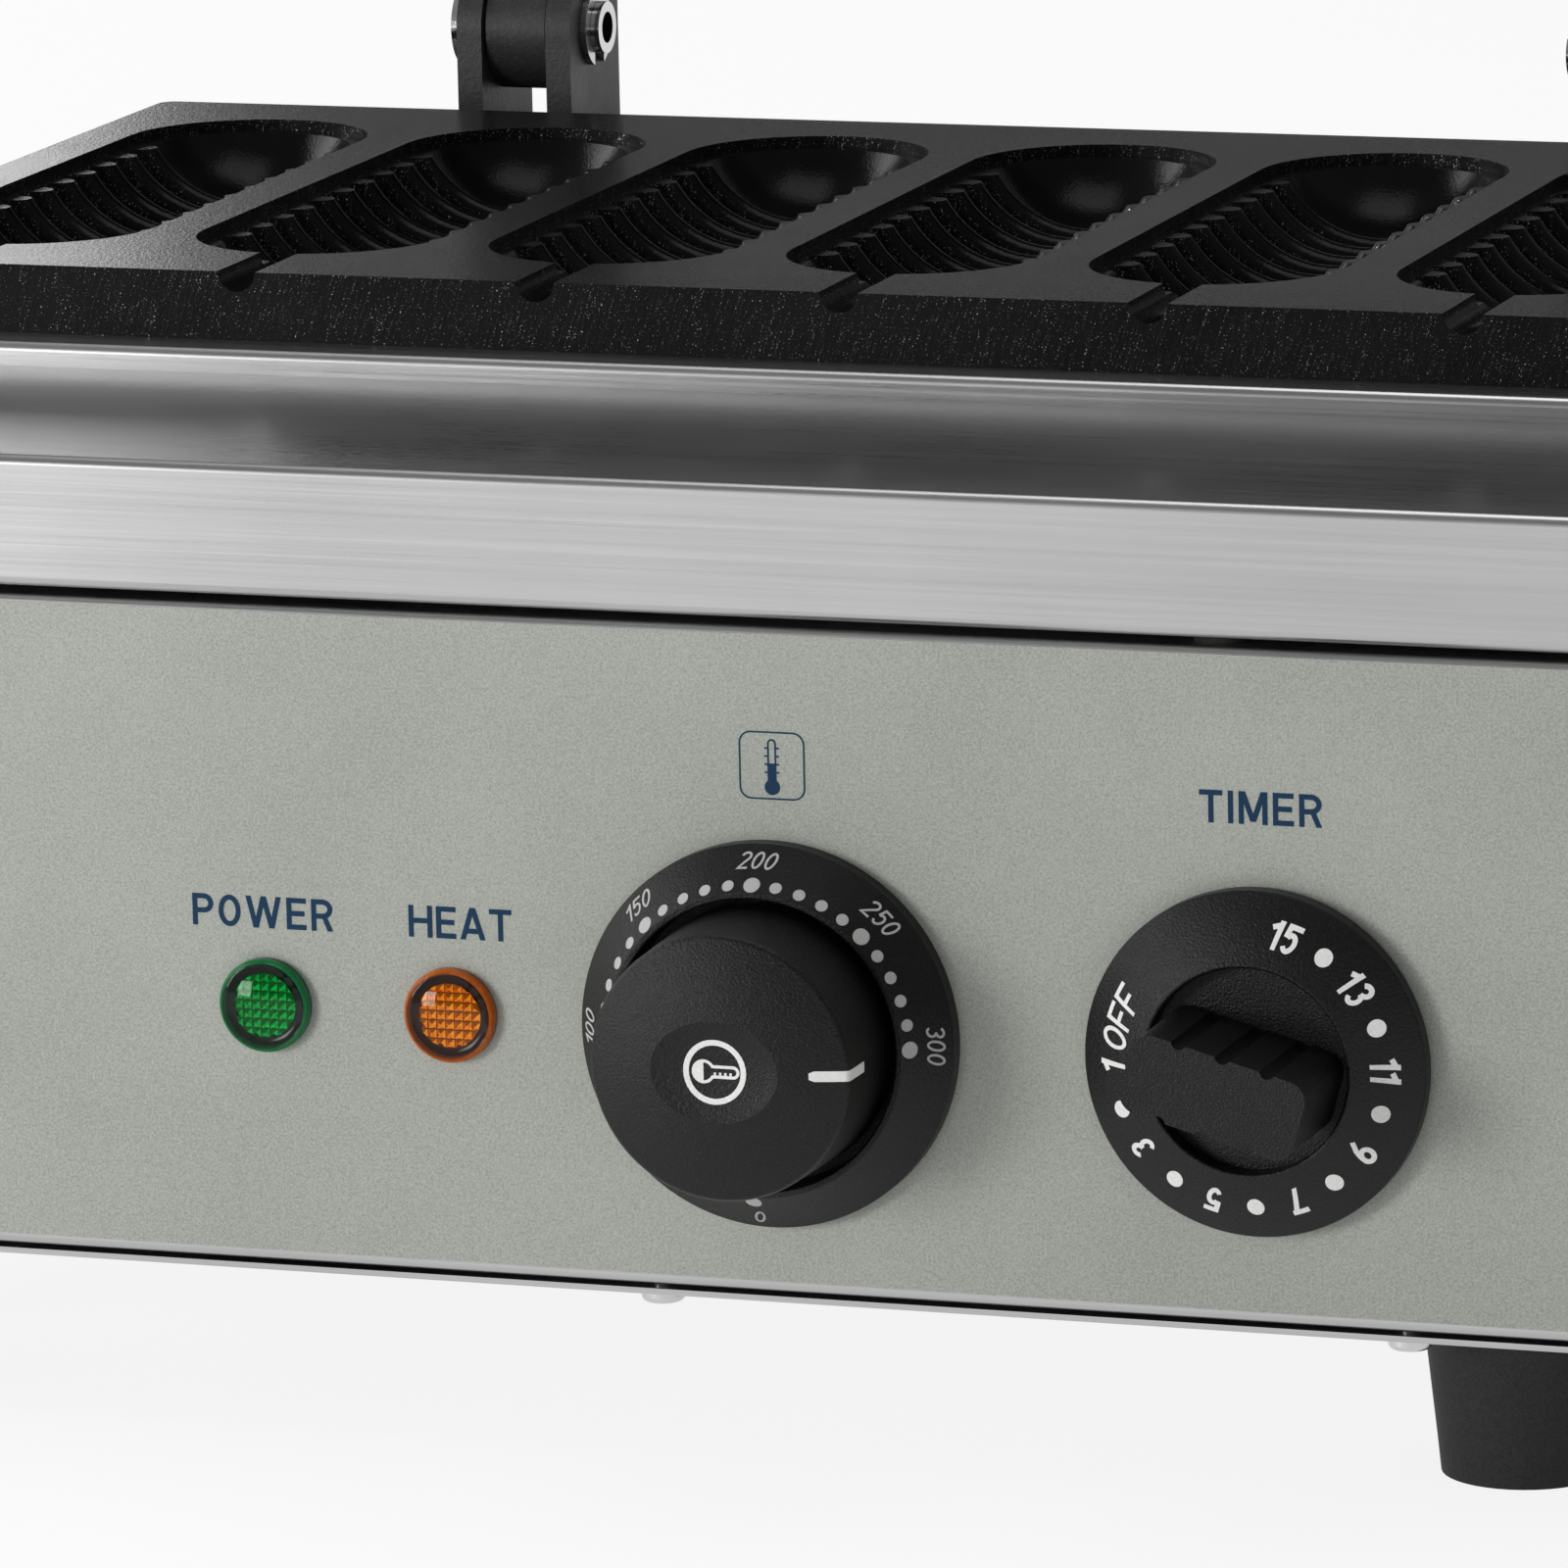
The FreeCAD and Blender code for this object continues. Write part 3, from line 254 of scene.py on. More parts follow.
knobPlastic = {"dark": (0.002, 0.002, 0.0022), "light": (0.011, 0.011, 0.0112), "grain": 2200.0, "lift": 1.0,
               "rough": (0.30, 0.40), "shine": 0.26}
gripPlastic = {"dark": (0.006, 0.006, 0.006), "light": (0.011, 0.011, 0.011), "grain": 1300.0, "lift": 0.25,
               "rough": (0.30, 0.42), "shine": 0.3}
glandPlastic = {"dark": (0.016, 0.016, 0.017), "light": (0.030, 0.030, 0.031), "grain": 1700.0, "lift": 0.3,
                "rough": (0.42, 0.56), "shine": 0.4}
controlPlastic = {"dark": (0.50, 0.48, 0.42), "light": (0.62, 0.60, 0.54), "grain": 900.0, "lift": 0.15,
                  "rough": (0.45, 0.6), "shine": 0.5}
footRubber = {"dark": (0.012, 0.012, 0.012), "light": (0.030, 0.030, 0.030), "grain": 1100.0, "lift": 0.4,
              "rough": (0.62, 0.80), "shine": 0.3}
spacerFibre = {"dark": (0.014, 0.013, 0.012), "light": (0.034, 0.032, 0.030), "grain": 1400.0, "lift": 0.5,
               "rough": (0.7, 0.85), "shine": 0.2}
hingePaint = {"dark": (0.020, 0.020, 0.021), "light": (0.034, 0.034, 0.035), "grain": 900.0, "lift": 0.45,
              "rough": (0.40, 0.55), "shine": 0.4}


def makeMoulded(name, look):
    material, root, spot = startFinish(name)
    grain = noise(spot, look["grain"], 2.0, 0.55)
    fine = noise(spot, look["grain"] * 2.6, 1.0, 0.5)
    handling = noise(spot, 40.0, 3.0, 0.5)
    base = mixed(ranged(grain * 0.35 + fine * 0.65, 0.38, 0.64, 0.0, 1.0), look["dark"], look["light"])
    rough = spread(handling * 0.6 + fine * 0.4, *look["rough"])
    endFinish(root, {"Base Color": base, "Roughness": rough, "Specular IOR Level": look["shine"],
                     "Normal": bumped(grain * 0.7 + fine * 0.3, look["lift"], 0.0002)})
    return material


platedSteel = {"dark": (0.50, 0.51, 0.52), "light": (0.66, 0.66, 0.64), "rough": (0.20, 0.34), "scale": 500.0}
brightSteel = {"dark": (0.60, 0.60, 0.60), "light": (0.72, 0.72, 0.71), "rough": (0.08, 0.18), "scale": 320.0}
heatedSteel = {"dark": (0.20, 0.17, 0.14), "light": (0.42, 0.40, 0.38), "rough": (0.35, 0.55), "scale": 160.0}
drawnCopper = {"dark": (0.48, 0.22, 0.11), "light": (0.72, 0.40, 0.24), "rough": (0.22, 0.38), "scale": 300.0}


def makeMetal(name, look):
    material, root, spot = startFinish(name)
    fine = noise(spot, look["scale"] * 4.0, 3.0, 0.6)
    patch = noise(spot, look["scale"] * 0.3, 3.0, 0.55)
    base = mixed(spread(patch * 0.6 + fine * 0.4), look["dark"], look["light"])
    rough = spread(fine * 0.5 + patch * 0.5, *look["rough"])
    endFinish(root, {"Base Color": base, "Metallic": 1.0, "Roughness": rough,
                     "Normal": bumped(fine, 0.06, 0.0001)})
    return material


mineralBoard = {"dark": (0.44, 0.39, 0.28), "light": (0.66, 0.61, 0.48), "fibres": 260.0}


def makeMineralBoard():
    look = mineralBoard
    material, root, spot = startFinish("mineralBoard")
    fibres = noise(stretched(spot, 0.25, 0.4, 3.0), look["fibres"], 5.0, 0.7)
    base = mixed(spread(fibres), look["dark"], look["light"])
    endFinish(root, {"Base Color": base, "Roughness": spread(fibres, 0.85, 1.0),
                     "Normal": bumped(fibres, 0.6, 0.0006)})
    return material


inks = {"panelBlue": colour(4, 52, 84), "dialGrey": colour(190, 190, 189), "dialWhite": colour(250, 250, 248)}


def makeInk(name, shade):
    # printed ink, a little uneven
    material, root, spot = startFinish(name)
    patchy = noise(spot, 2600.0, 2.0, 0.6)
    thin = tuple(v * 0.86 for v in shade)
    endFinish(root, {"Base Color": mixed(spread(patchy), thin, shade),
                     "Roughness": spread(patchy, 0.45, 0.6), "Specular IOR Level": 0.2})
    return material


finishes = {
    "stainless": makeStainless(),
    "overlay_film": makeOverlayFilm(),
    "coated_plate": makeCoatedPlate(),
    "fastener_steel": makeMetal("platedSteel", platedSteel),
    "bright_steel": makeMetal("brightSteel", brightSteel),
    "element_steel": makeMetal("heatedSteel", heatedSteel),
    "copper": makeMetal("drawnCopper", drawnCopper),
    "hinge_steel": makeMoulded("hingePaint", hingePaint),
    "mineral_board": makeMineralBoard(),
    "foot_rubber": makeMoulded("footRubber", footRubber),
    "spacer_fibre": makeMoulded("spacerFibre", spacerFibre),
    "knob_plastic": makeMoulded("knobPlastic", knobPlastic),
    "grip_plastic": makeMoulded("gripPlastic", gripPlastic),
    "control_plastic": makeMoulded("controlPlastic", controlPlastic),
    "gland_plastic": makeMoulded("glandPlastic", glandPlastic),
}
for part in frame["record"]["subparts"]:
    finish = finishes.get(part["material_slot"])
    if finish:
        shell = nodes[part["node"]]
        for place in shell.material_slots:
            place.material = finish
print("finishes:", len(finishes))


# sizes shared by the printed marks and the lamps, in millimetres as on the part
panel = {"face": panelFace * 1000, "controlHeight": 74.0, "powerX": -45.2, "heatX": -12.3, "thermostatX": 43.9,
         "timerX": 127.4}
ink = {"under": -0.03, "over": 0.06, "cut": 0.7, "layer": 0.006, "weld": 0.002, "castFrom": 60.0}


def strokeLine(mesh, points, width, closed=False):
    # a flat line of even width, with mitred corners
    count = len(points)
    spots = [Vector(p) for p in points]
    rims = []
    for i, here in enumerate(spots):
        before = spots[i - 1] if closed or i else here
        after = spots[(i + 1) % count] if closed or i < count - 1 else here
        into = (here - before).normalized() if before != here else (after - here).normalized()
        away = (after - here).normalized() if after != here else into
        across = Vector((-into.y - away.y, into.x + away.x)).normalized()
        reach = width / 2 / max(0.5, across.dot(Vector((-into.y, into.x))))
        rims.append([mesh.verts.new((*(here + across * reach * s), 0)) for s in (-1, 1)])
    for i in range(count if closed else count - 1):
        here, after = rims[i], rims[(i + 1) % count]
        mesh.faces.new((here[0], after[0], after[1], here[1]))


def slantBar(mesh, start, end, width):
    # a straight stroke whose ends are cut level
    lean = math.hypot(end[0] - start[0], end[1] - start[1]) / abs(end[1] - start[1])
    half = width * lean / 2
    corners = [(start[0] - half, start[1]), (start[0] + half, start[1]), (end[0] + half, end[1]),
               (end[0] - half, end[1])]
    mesh.faces.new([mesh.verts.new((x, y, 0)) for x, y in corners])


def arc(centre, radius, start, end, steps=10, squeeze=1.0):
    # points from one angle to the other, anticlockwise from +x, in degrees
    turns = [math.radians(start + (end - start) * i / steps) for i in range(steps + 1)]
    return [(centre[0] + radius * squeeze * math.cos(t), centre[1] + radius * math.sin(t)) for t in turns]


def disc(mesh, centre, radius, steps=28):
    mesh.faces.new([mesh.verts.new((x, y, 0)) for x, y in arc(centre, radius, 0, 360 - 360 / steps, steps - 1)])


def glyphs(t):
    # letters and figures one unit tall, as strokes of thickness t: (width, lines, rings, bars)
    h = t / 2
    top = 1 - h

    def ring(wide, low=0.0):
        tall = (1 - low) / 2 - h
        return arc((wide / 2, (1 + low) / 2), tall, 0, 350, 35, (wide / 2 - h) / tall)

    def bowl(wide):
        tall = (top - 0.47) / 2
        return [(h, top), *arc((0.37, top - tall), tall, 90, -90, 12, (wide - h - 0.37) / tall), (h, 0.47)]

    def stem(x):
        return ((x, 0), (x, 1))

    def curve(middle, tall, start, end, wide):
        return arc((wide / 2, middle), tall, start, end, 16, (wide / 2 - h) / tall)

    upper, lower = (top - 0.53) / 2, (0.53 - h) / 2
    belly = (0.64 - h) / 2
    return {
        "P": (0.69, [bowl(0.69)], [], [stem(h)]),
        "R": (0.72, [bowl(0.70)], [], [stem(h), ((0.42, 0.47), (0.62, 0))]),
        "O": (0.73, [], [ring(0.73)], []),
        "W": (1.18, [], [], [((0.09, 1), (0.33, 0)), ((0.59, 1), (0.33, 0)), ((0.59, 1), (0.85, 0)),
                             ((1.09, 1), (0.85, 0))]),
        "E": (0.645, [[(0, top), (0.645, top)], [(0, 0.51), (0.59, 0.51)], [(0, h), (0.645, h)]], [],
              [stem(h)]),
        "F": (0.60, [[(0, top), (0.60, top)], [(0, 0.49), (0.53, 0.49)]], [], [stem(h)]),
        "H": (0.776, [[(0, 0.52), (0.776, 0.52)]], [], [stem(h), stem(0.776 - h)]),
        "A": (0.84, [[(0.2, 0.27), (0.64, 0.27)]], [], [((0.095, 0), (0.41, 1)), ((0.745, 0), (0.43, 1))]),
        "T": (0.73, [[(0, top), (0.73, top)]], [], [stem(0.365)]),
        "I": (t, [], [], [stem(h)]),
        "M": (0.90, [], [], [stem(h), stem(0.90 - h), ((0.12, 1), (0.45, 0.08)), ((0.78, 1), (0.45, 0.08))]),
        "0": (0.56, [], [ring(0.56)], []),
        "1": (0.36, [[(0.0, 0.73), (0.36 - h, top - h * 0.6)]], [], [stem(0.36 - h)]),
        "2": (0.56, [curve(top - upper * 1.05, upper * 1.05, 165, -38, 0.56) + [(h, h), (0.56, h)]], [], []),
        "3": (0.56, [curve(top - upper, upper, 155, -90, 0.56), curve(h + lower, lower, 90, -155, 0.56)],
              [], []),
        "5": (0.56, [[(0.53, top), (0.10, top), (0.085, 0.53)], curve(h + belly, belly, 140, -150, 0.56)],
              [], []),
        "7": (0.56, [[(0, top), (0.56, top)]], [], [((0.56 - t * 0.55, 1), (0.21, 0))]),
        "9": (0.58, [[(0.58 - h, 0.7), (0.57 - h, 0.52), (0.51 - h, 0.3), (0.20, 0.01)]],
              [ring(0.58, 0.36)], []),
    }


def faceOf(name):
    shell = nodes[name]
    return BVHTree.FromPolygons([shell.matrix_world @ v.co for v in shell.data.vertices],
                                [list(face.vertices) for face in shell.data.polygons])


def layInk(target, mesh, place, layer=0):
    # cuts the flat marks small, makes them a thin film and lays them on a surface
    bmesh.ops.remove_doubles(mesh, verts=mesh.verts[:], dist=ink["weld"])
    for axis in (0, 1):
        low = min(v.co[axis] for v in mesh.verts)
        high = max(v.co[axis] for v in mesh.verts)
        steps = int((high - low) / ink["cut"])
        for i in range(steps):
            spot, normal = [0, 0, 0], [0, 0, 0]
            spot[axis] = low + (i + 1) * (high - low) / (steps + 1)
            normal[axis] = 1
            bmesh.ops.bisect_plane(mesh, geom=mesh.verts[:] + mesh.edges[:] + mesh.faces[:], plane_co=spot,
                                   plane_no=normal)
    raised = bmesh.ops.extrude_face_region(mesh, geom=mesh.faces[:])
    for v in mesh.verts:
        v.co.z = ink["under"]
    for v in [g for g in raised["geom"] if isinstance(g, bmesh.types.BMVert)]:
        v.co.z = ink["over"] + layer * ink["layer"]
    for v in mesh.verts:
        v.co = Vector(place(v.co.x, v.co.y, v.co.z)) / 1000
    bmesh.ops.recalc_face_normals(mesh, faces=mesh.faces[:])
    flat = bpy.data.meshes.new("marks")
    mesh.to_mesh(flat)
    mesh.free()
    target.from_mesh(flat)
    bpy.data.meshes.remove(flat)


def layText(target, text, look, place):
    # a word centred on its place; each stroke lies in a layer of its own
    tall, stroke = look["tall"], look["stroke"]
    shapes = glyphs(stroke / tall)
    inked = sum(shapes[c][0] for c in text)
    gap = (look["wide"] / tall - inked) / (len(text) - 1) if "wide" in look else look["gap"]
    at = -(inked + gap * (len(text) - 1)) / 2
    for c in text:
        wide, lines, rings, bars = shapes[c]
        strokes = [(points, False) for points in lines] + [(points, True) for points in rings]
        strokes += [(ends, None) for ends in bars]
        for layer, (points, closed) in enumerate(strokes):
            spots = [((at + x + look["lean"] * (y - 0.5)) * tall, (y - 0.5) * tall) for x, y in points]
            drawn = bmesh.new()
            if closed is None:
                slantBar(drawn, *spots, stroke)
            else:
                strokeLine(drawn, spots, stroke, closed)
            layInk(target, drawn, place, layer)
        at += wide + gap


def addPiece(name, mesh, material, body, smooth=False):
    flat = bpy.data.meshes.new(name)
    mesh.to_mesh(flat)
    mesh.free()
    flat.materials.append(material)
    for face in flat.polygons:
        face.use_smooth = smooth
    piece = bpy.data.objects.new(name, flat)
    bpy.context.scene.collection.objects.link(piece)
    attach(piece, body)
    return piece


def onPanel(x, z):
    return lambda u, v, h: (x + u, panel["face"] - h, z + v)


def onFace(tree, x, z, lift):
    # the point straight behind x, z on a piece's front, lifted off its surface
    start = Vector((x, panel["face"] - ink["castFrom"], z)) / 1000
    spot, normal = tree.ray_cast(start, Vector((0, 1, 0)))[:2]
    return spot * 1000 + normal * lift


def onDial(tree, axisX, radius, angle, rise=1.0):
    # tops of the figures point outwards; angle runs clockwise from the top
    def place(u, v, h):
        far = radius + v * rise
        turn = math.radians(angle) + u / radius
        return onFace(tree, axisX + far * math.sin(turn), panel["controlHeight"] + far * math.cos(turn), h)
    return place


panelInk = makeInk("panelInk", inks["panelBlue"])
dialInk = makeInk("dialInk", inks["dialGrey"])
whiteInk = makeInk("whiteInk", inks["dialWhite"])

# words on the panel: middle across, middle up and width of each
panelWords = {"stroke": 0.88, "tall": 5.4, "lean": 0.0,
              "words": {"POWER": (-45.55, 89.6, 25.1), "HEAT": (-10.5, 89.5, 18.2),
                        "TIMER": (127.95, 115.6, 20.7)}}


def makePanelWords():
    words = bmesh.new()
    for word, (x, z, wide) in panelWords["words"].items():
        layText(words, word, {**panelWords, "wide": wide}, onPanel(x, z))
    return addPiece("panelWords", words, panelInk, "base")


makePanelWords()


# thermometer sign over the thermostat
panelSign = {"x": 44.75, "z": 118.75, "half": 5.55, "corner": 1.9, "line": 0.28, "tube": 0.62, "bulb": 1.32,
             "bulbDrop": -3.6, "top": 4.3, "level": 0.35, "ticks": (2.9, 1.55, 0.2, -1.15), "tick": 0.62}


def makePanelSign():
    look = panelSign
    half, corner, line, tube = look["half"], look["corner"], look["line"], look["tube"]
    inner = half - corner
    place = onPanel(look["x"], look["z"])
    sign = bmesh.new()
    frameLine = []
    for i, (sx, sz) in enumerate(((1, 1), (-1, 1), (-1, -1), (1, -1))):
        frameLine += arc((sx * inner, sz * inner), corner, 90 * i, 90 * i + 90, 6)
    drop = look["bulbDrop"]
    glass = [(-tube, drop), *arc((0, look["top"] - tube), tube, 180, 0, 8), (tube, drop)]
    strokes = [(frameLine, line, True), (glass, line, False),
               ([(0, drop), (0, look["level"])], tube * 2, False)]
    for z in look["ticks"]:
        strokes += [([(side * tube, z), (side * (tube + look["tick"]), z)], line, False) for side in (-1, 1)]
    for layer, (points, wide, closed) in enumerate(strokes):
        drawn = bmesh.new()
        strokeLine(drawn, points, wide, closed)
        layInk(sign, drawn, place, min(layer, 3))
    drawn = bmesh.new()
    disc(drawn, (0, drop), look["bulb"])
    layInk(sign, drawn, place, 4)
    return addPiece("panelSign", sign, panelInk, "base")


makePanelSign()


# scale on the thermostat bezel; turn is degrees for each unit, counted from the value at the top
bezelScale = {"dots": 26.6, "bigDot": 1.4, "dot": 1.02, "figures": 30.0, "tall": 3.3, "stroke": 0.4,
              "gap": 0.13, "lean": 0.24, "rise": 0.72, "last": 300, "top": 200, "turn": 0.89}


def makeBezelScale():
    look = bezelScale
    tree = faceOf("thermostat_bezel")
    scale = bmesh.new()
    for value in range(0, look["last"] + 1, 10):
        angle = (value - look["top"]) * look["turn"]
        big = value % 50 == 0
        drawn = bmesh.new()
        disc(drawn, (0, 0), look["bigDot"] if big else look["dot"])
        layInk(scale, drawn, onDial(tree, panel["thermostatX"], look["dots"], angle, look["rise"]))
        if big:
            place = onDial(tree, panel["thermostatX"], look["figures"], angle, look["rise"])
            layText(scale, str(value), look, place)
    return addPiece("bezelScale", scale, dialInk, "base")


makeBezelScale()


# white pointer over the edge of the thermostat knob
knobPointer = {"start": 15.9, "wide": 1.75, "edge": (22.2, 26.905), "foot": (22.8, 5.2), "dome": 70.0,
               "fillet": 1.0, "length": 6.0, "angle": 90.0, "lift": 0.06, "under": -0.05,
               "topSteps": 12, "sideSteps": 8}


def knobProfile():
    # points (radius, height) from the pointer's start over the rounded edge and down the side
    look = knobPointer
    edgeRadius, edgeHeight = look["edge"]
    footRadius, footHeight = look["foot"]
    ball = look["dome"]
    crown = edgeHeight - math.sqrt(ball ** 2 - edgeRadius ** 2)
    steps = look["topSteps"]
    reach = edgeRadius - look["fillet"] - look["start"]
    spots = [look["start"] + reach * i / steps for i in range(steps + 1)]
    points = [(r, crown + math.sqrt(ball ** 2 - r ** 2)) for r in spots]
    points += arc((edgeRadius - look["fillet"], edgeHeight - look["fillet"] + 0.25), look["fillet"], 65, 8, 6)
    flare = edgeHeight - footHeight
    for i in range(look["sideSteps"]):
        h = edgeHeight - look["fillet"] - look["length"] * (i + 1) / look["sideSteps"]
        points.append((edgeRadius + (edgeHeight - h) * (footRadius - edgeRadius) / flare, h))
    return points


def makeKnobPointer():
    look = knobPointer
    tree = faceOf("thermostat_knob")
    points = knobProfile()
    mesh = bmesh.new()
    rows = []
    over, under = look["lift"], look["under"]
    for i, (r, h) in enumerate(points):
        half = look["wide"] / 2 * min(1.0, 0.6 + 0.2 * i)
        row = []
        for side, lift in ((-1, under), (-1, over), (0, over), (1, over), (1, under)):
            turn = math.radians(look["angle"]) + side * half / r
            guess = Vector((panel["thermostatX"] + r * math.sin(turn), panel["face"] - h,
                            panel["controlHeight"] + r * math.cos(turn))) / 1000
            spot, normal = tree.find_nearest(guess)[:2]
            row.append(mesh.verts.new(spot + normal * lift / 1000))
        rows.append(row)
    for here, after in zip(rows, rows[1:]):
        for k in range(len(here)):
            onward = (k + 1) % len(here)
            mesh.faces.new((here[k], after[k], after[onward], here[onward]))
    mesh.faces.new(rows[0])
    mesh.faces.new(rows[-1][::-1])
    bmesh.ops.recalc_face_normals(mesh, faces=mesh.faces[:])
    return addPiece("knobPointer", mesh, whiteInk, "thermostat_dial")


makeKnobPointer()


# ring and thermometer in the finger dish of the knob, lying towards the pointer
knobSign = {"ring": 5.4, "line": 0.95, "thin": 0.5, "bulb": (-1.95, 1.75), "tube": 0.85, "tip": 4.0,
            "ticks": (0.0, 0.9, 1.8, 2.7), "tick": 0.75, "tickThin": 0.8, "filledBy": 0.1}


def makeKnobSign():
    look = knobSign
    tree = faceOf("thermostat_knob")
    bulbX, bulb = look["bulb"]
    tube, thin = look["tube"], look["thin"]
    meet = math.degrees(math.asin(tube / bulb))

    def onDish(u, v, h):
        return onFace(tree, panel["thermostatX"] + u, panel["controlHeight"] + v, h)

    outline = arc((bulbX, 0), bulb, meet, 360 - meet, 22) + arc((look["tip"] - tube, 0), tube, -90, 90, 8)
    ring = arc((0, 0), look["ring"] - look["line"] / 2, 0, 350, 35)
    strokes = [(ring, look["line"], True), (outline, thin, True)]
    strokes += [([(x, -tube), (x, -tube + look["tick"])], thin * look["tickThin"], False)
                for x in look["ticks"]]
    sign = bmesh.new()
    for layer, (points, wide, closed) in enumerate(strokes):
        drawn = bmesh.new()
        strokeLine(drawn, points, wide, closed)
        layInk(sign, drawn, onDish, min(layer, 2))
    drawn = bmesh.new()
    filled = arc((bulbX, 0), bulb - look["filledBy"], 90, 270, 14)
    drawn.faces.new([drawn.verts.new((x, y, 0)) for x, y in filled])
    layInk(sign, drawn, onDish, 3)
    return addPiece("knobSign", sign, whiteInk, "thermostat_dial")


makeKnobSign()


# minutes on the timer's disc, clockwise from the top; the odd ones are figures, the even ones dots
timerScale = {"radius": 22.9, "tall": 4.6, "stroke": 0.82, "gap": 0.12, "lean": 0.12, "dot": 1.45,
              "last": 15, "first": 15.9, "step": 18.0, "offAngle": -72.0, "off": {"stroke": 0.66, "lean": 0.2}}


def makeTimerScale():
    look = timerScale
    tree = faceOf("timer_knob")
    scale = bmesh.new()
    for minute in range(look["last"], 0, -1):
        angle = look["first"] + (look["last"] - minute) * look["step"]
        place = onDial(tree, panel["timerX"], look["radius"], angle)
        if minute % 2:
            layText(scale, str(minute), look, place)
            continue
        drawn = bmesh.new()
        disc(drawn, (0, 0), look["dot"])
        layInk(scale, drawn, place)
    layText(scale, "OFF", {**look, **look["off"]},
            onDial(tree, panel["timerX"], look["radius"], look["offAngle"]))
    return addPiece("timerScale", scale, whiteInk, "timer_dial")


makeTimerScale()
print("printed marks laid")


# pilot lamps: a tinted rim whose edge carries painted light and whose part over the well is painted shade, a
# well with a floor of small bright pyramids, and a clear dome over both
pilotLamp = {"radius": 7.95, "rim": 2.2, "lip": 0.7, "litTint": 0.5, "floor": 1.3, "well": 5.5, "cells": 7,
             "pyramid": 0.5, "foot": 0.05, "groove": 0.06, "overlap": 1.05, "gather": 0.97, "shoulder": 1.0,
             "proud": 4.55, "bulge": 0.9, "domeSteps": 14, "glint": 0.02}
# dark is painted shade over each lamp's well; rim is the lens tint brightened as painted light
lampTints = {
    "power": {"x": panel["powerX"], "node": "power_lamp_lens", "slot": "green_lens", "rim": colour(22, 118, 66),
              "dark": colour(3, 20, 12), "bright": colour(8, 172, 70), "deep": colour(3, 116, 44),
              "glow": colour(0, 30, 8)},
    "heat": {"x": panel["heatX"], "node": "heat_lamp_lens", "slot": "orange_lens", "rim": colour(196, 96, 20),
             "dark": colour(34, 14, 6), "bright": colour(232, 146, 32), "deep": colour(196, 102, 12),
             "glow": colour(60, 26, 0)},
}


def makeLampRim(name, tint):
    # the real tint, brightened at the thick edge as painted light through a clear lens, turns to painted shade
    # (a dark colour) over the well
    look = pilotLamp
    material, root, spot = startFinish(name)
    axis = (tint["x"] / 1000, 0.0, panel["controlHeight"] / 1000)
    flatSpot = stretched(spot, 1.0, 0.0, 1.0)
    far = root.node("VectorMath", {"operation": "DISTANCE"}, {0: flatSpot, 1: axis}, "Value")
    edge = (look["radius"] - look["litTint"]) / 1000
    flow = noise(spot, 700.0, 2.0, 0.5)
    outer = mixed(spread(flow), tuple(v * 0.75 for v in tint["rim"]), tint["rim"])
    # painted shade inside this radius, painted lit tint out to the edge
    atEdge = ranged(far, edge - 0.0006, edge + 0.0003, 0.0, 1.0)
    endFinish(root, {"Base Color": mixed(atEdge, tint["dark"], outer),
                     "Roughness": spread(flow, 0.10, 0.18), "Specular IOR Level": 0.15})
    return material


def makeLampFloor(name, tint):
    material, root, spot = startFinish(name)
    flow = noise(spot, 1400.0, 2.0, 0.5)
    endFinish(root, {"Base Color": mixed(spread(flow), tint["deep"], tint["bright"]),
                     "Roughness": spread(flow, 0.08, 0.14), "Metallic": 1.0,
                     "Emission Color": opaque(tint["glow"]), "Emission Strength": 0.5})
    return material


def makeLampDome(name, tint):
    # a clear skin that only adds its highlights
    material, root, spot = startFinish(name)
    flow = noise(spot, 500.0, 2.0, 0.5)
    pale = tuple(0.75 + v * 0.25 for v in tint["bright"])
    glint = pilotLamp["glint"]
    endFinish(root, {"Base Color": opaque(pale), "Metallic": 1.0, "Roughness": spread(flow, 0.03, 0.06),
                     "Alpha": spread(flow, glint * 0.9, glint)})
    return material


def turnedSkin(mesh, profile, x, steps=64):
    # a skin of revolution about an axis along y; profile runs (radius, height)
    rings = []
    for r, h in profile:
        if r < 1e-6:
            rings.append([mesh.verts.new(Vector((x, panel["face"] - h, panel["controlHeight"])) / 1000)])
            continue
        turns = [2 * math.pi * k / steps for k in range(steps)]
        rings.append([mesh.verts.new(Vector((x + r * math.sin(t), panel["face"] - h,
                                             panel["controlHeight"] + r * math.cos(t))) / 1000) for t in turns])
    for here, after in zip(rings, rings[1:]):
        for k in range(steps):
            quad = [here[k % len(here)], here[(k + 1) % len(here)], after[(k + 1) % len(after)],
                    after[k % len(after)]]
            corners = list(dict.fromkeys(quad))
            if len(corners) > 2:
                mesh.faces.new(corners)
    bmesh.ops.recalc_face_normals(mesh, faces=mesh.faces[:])


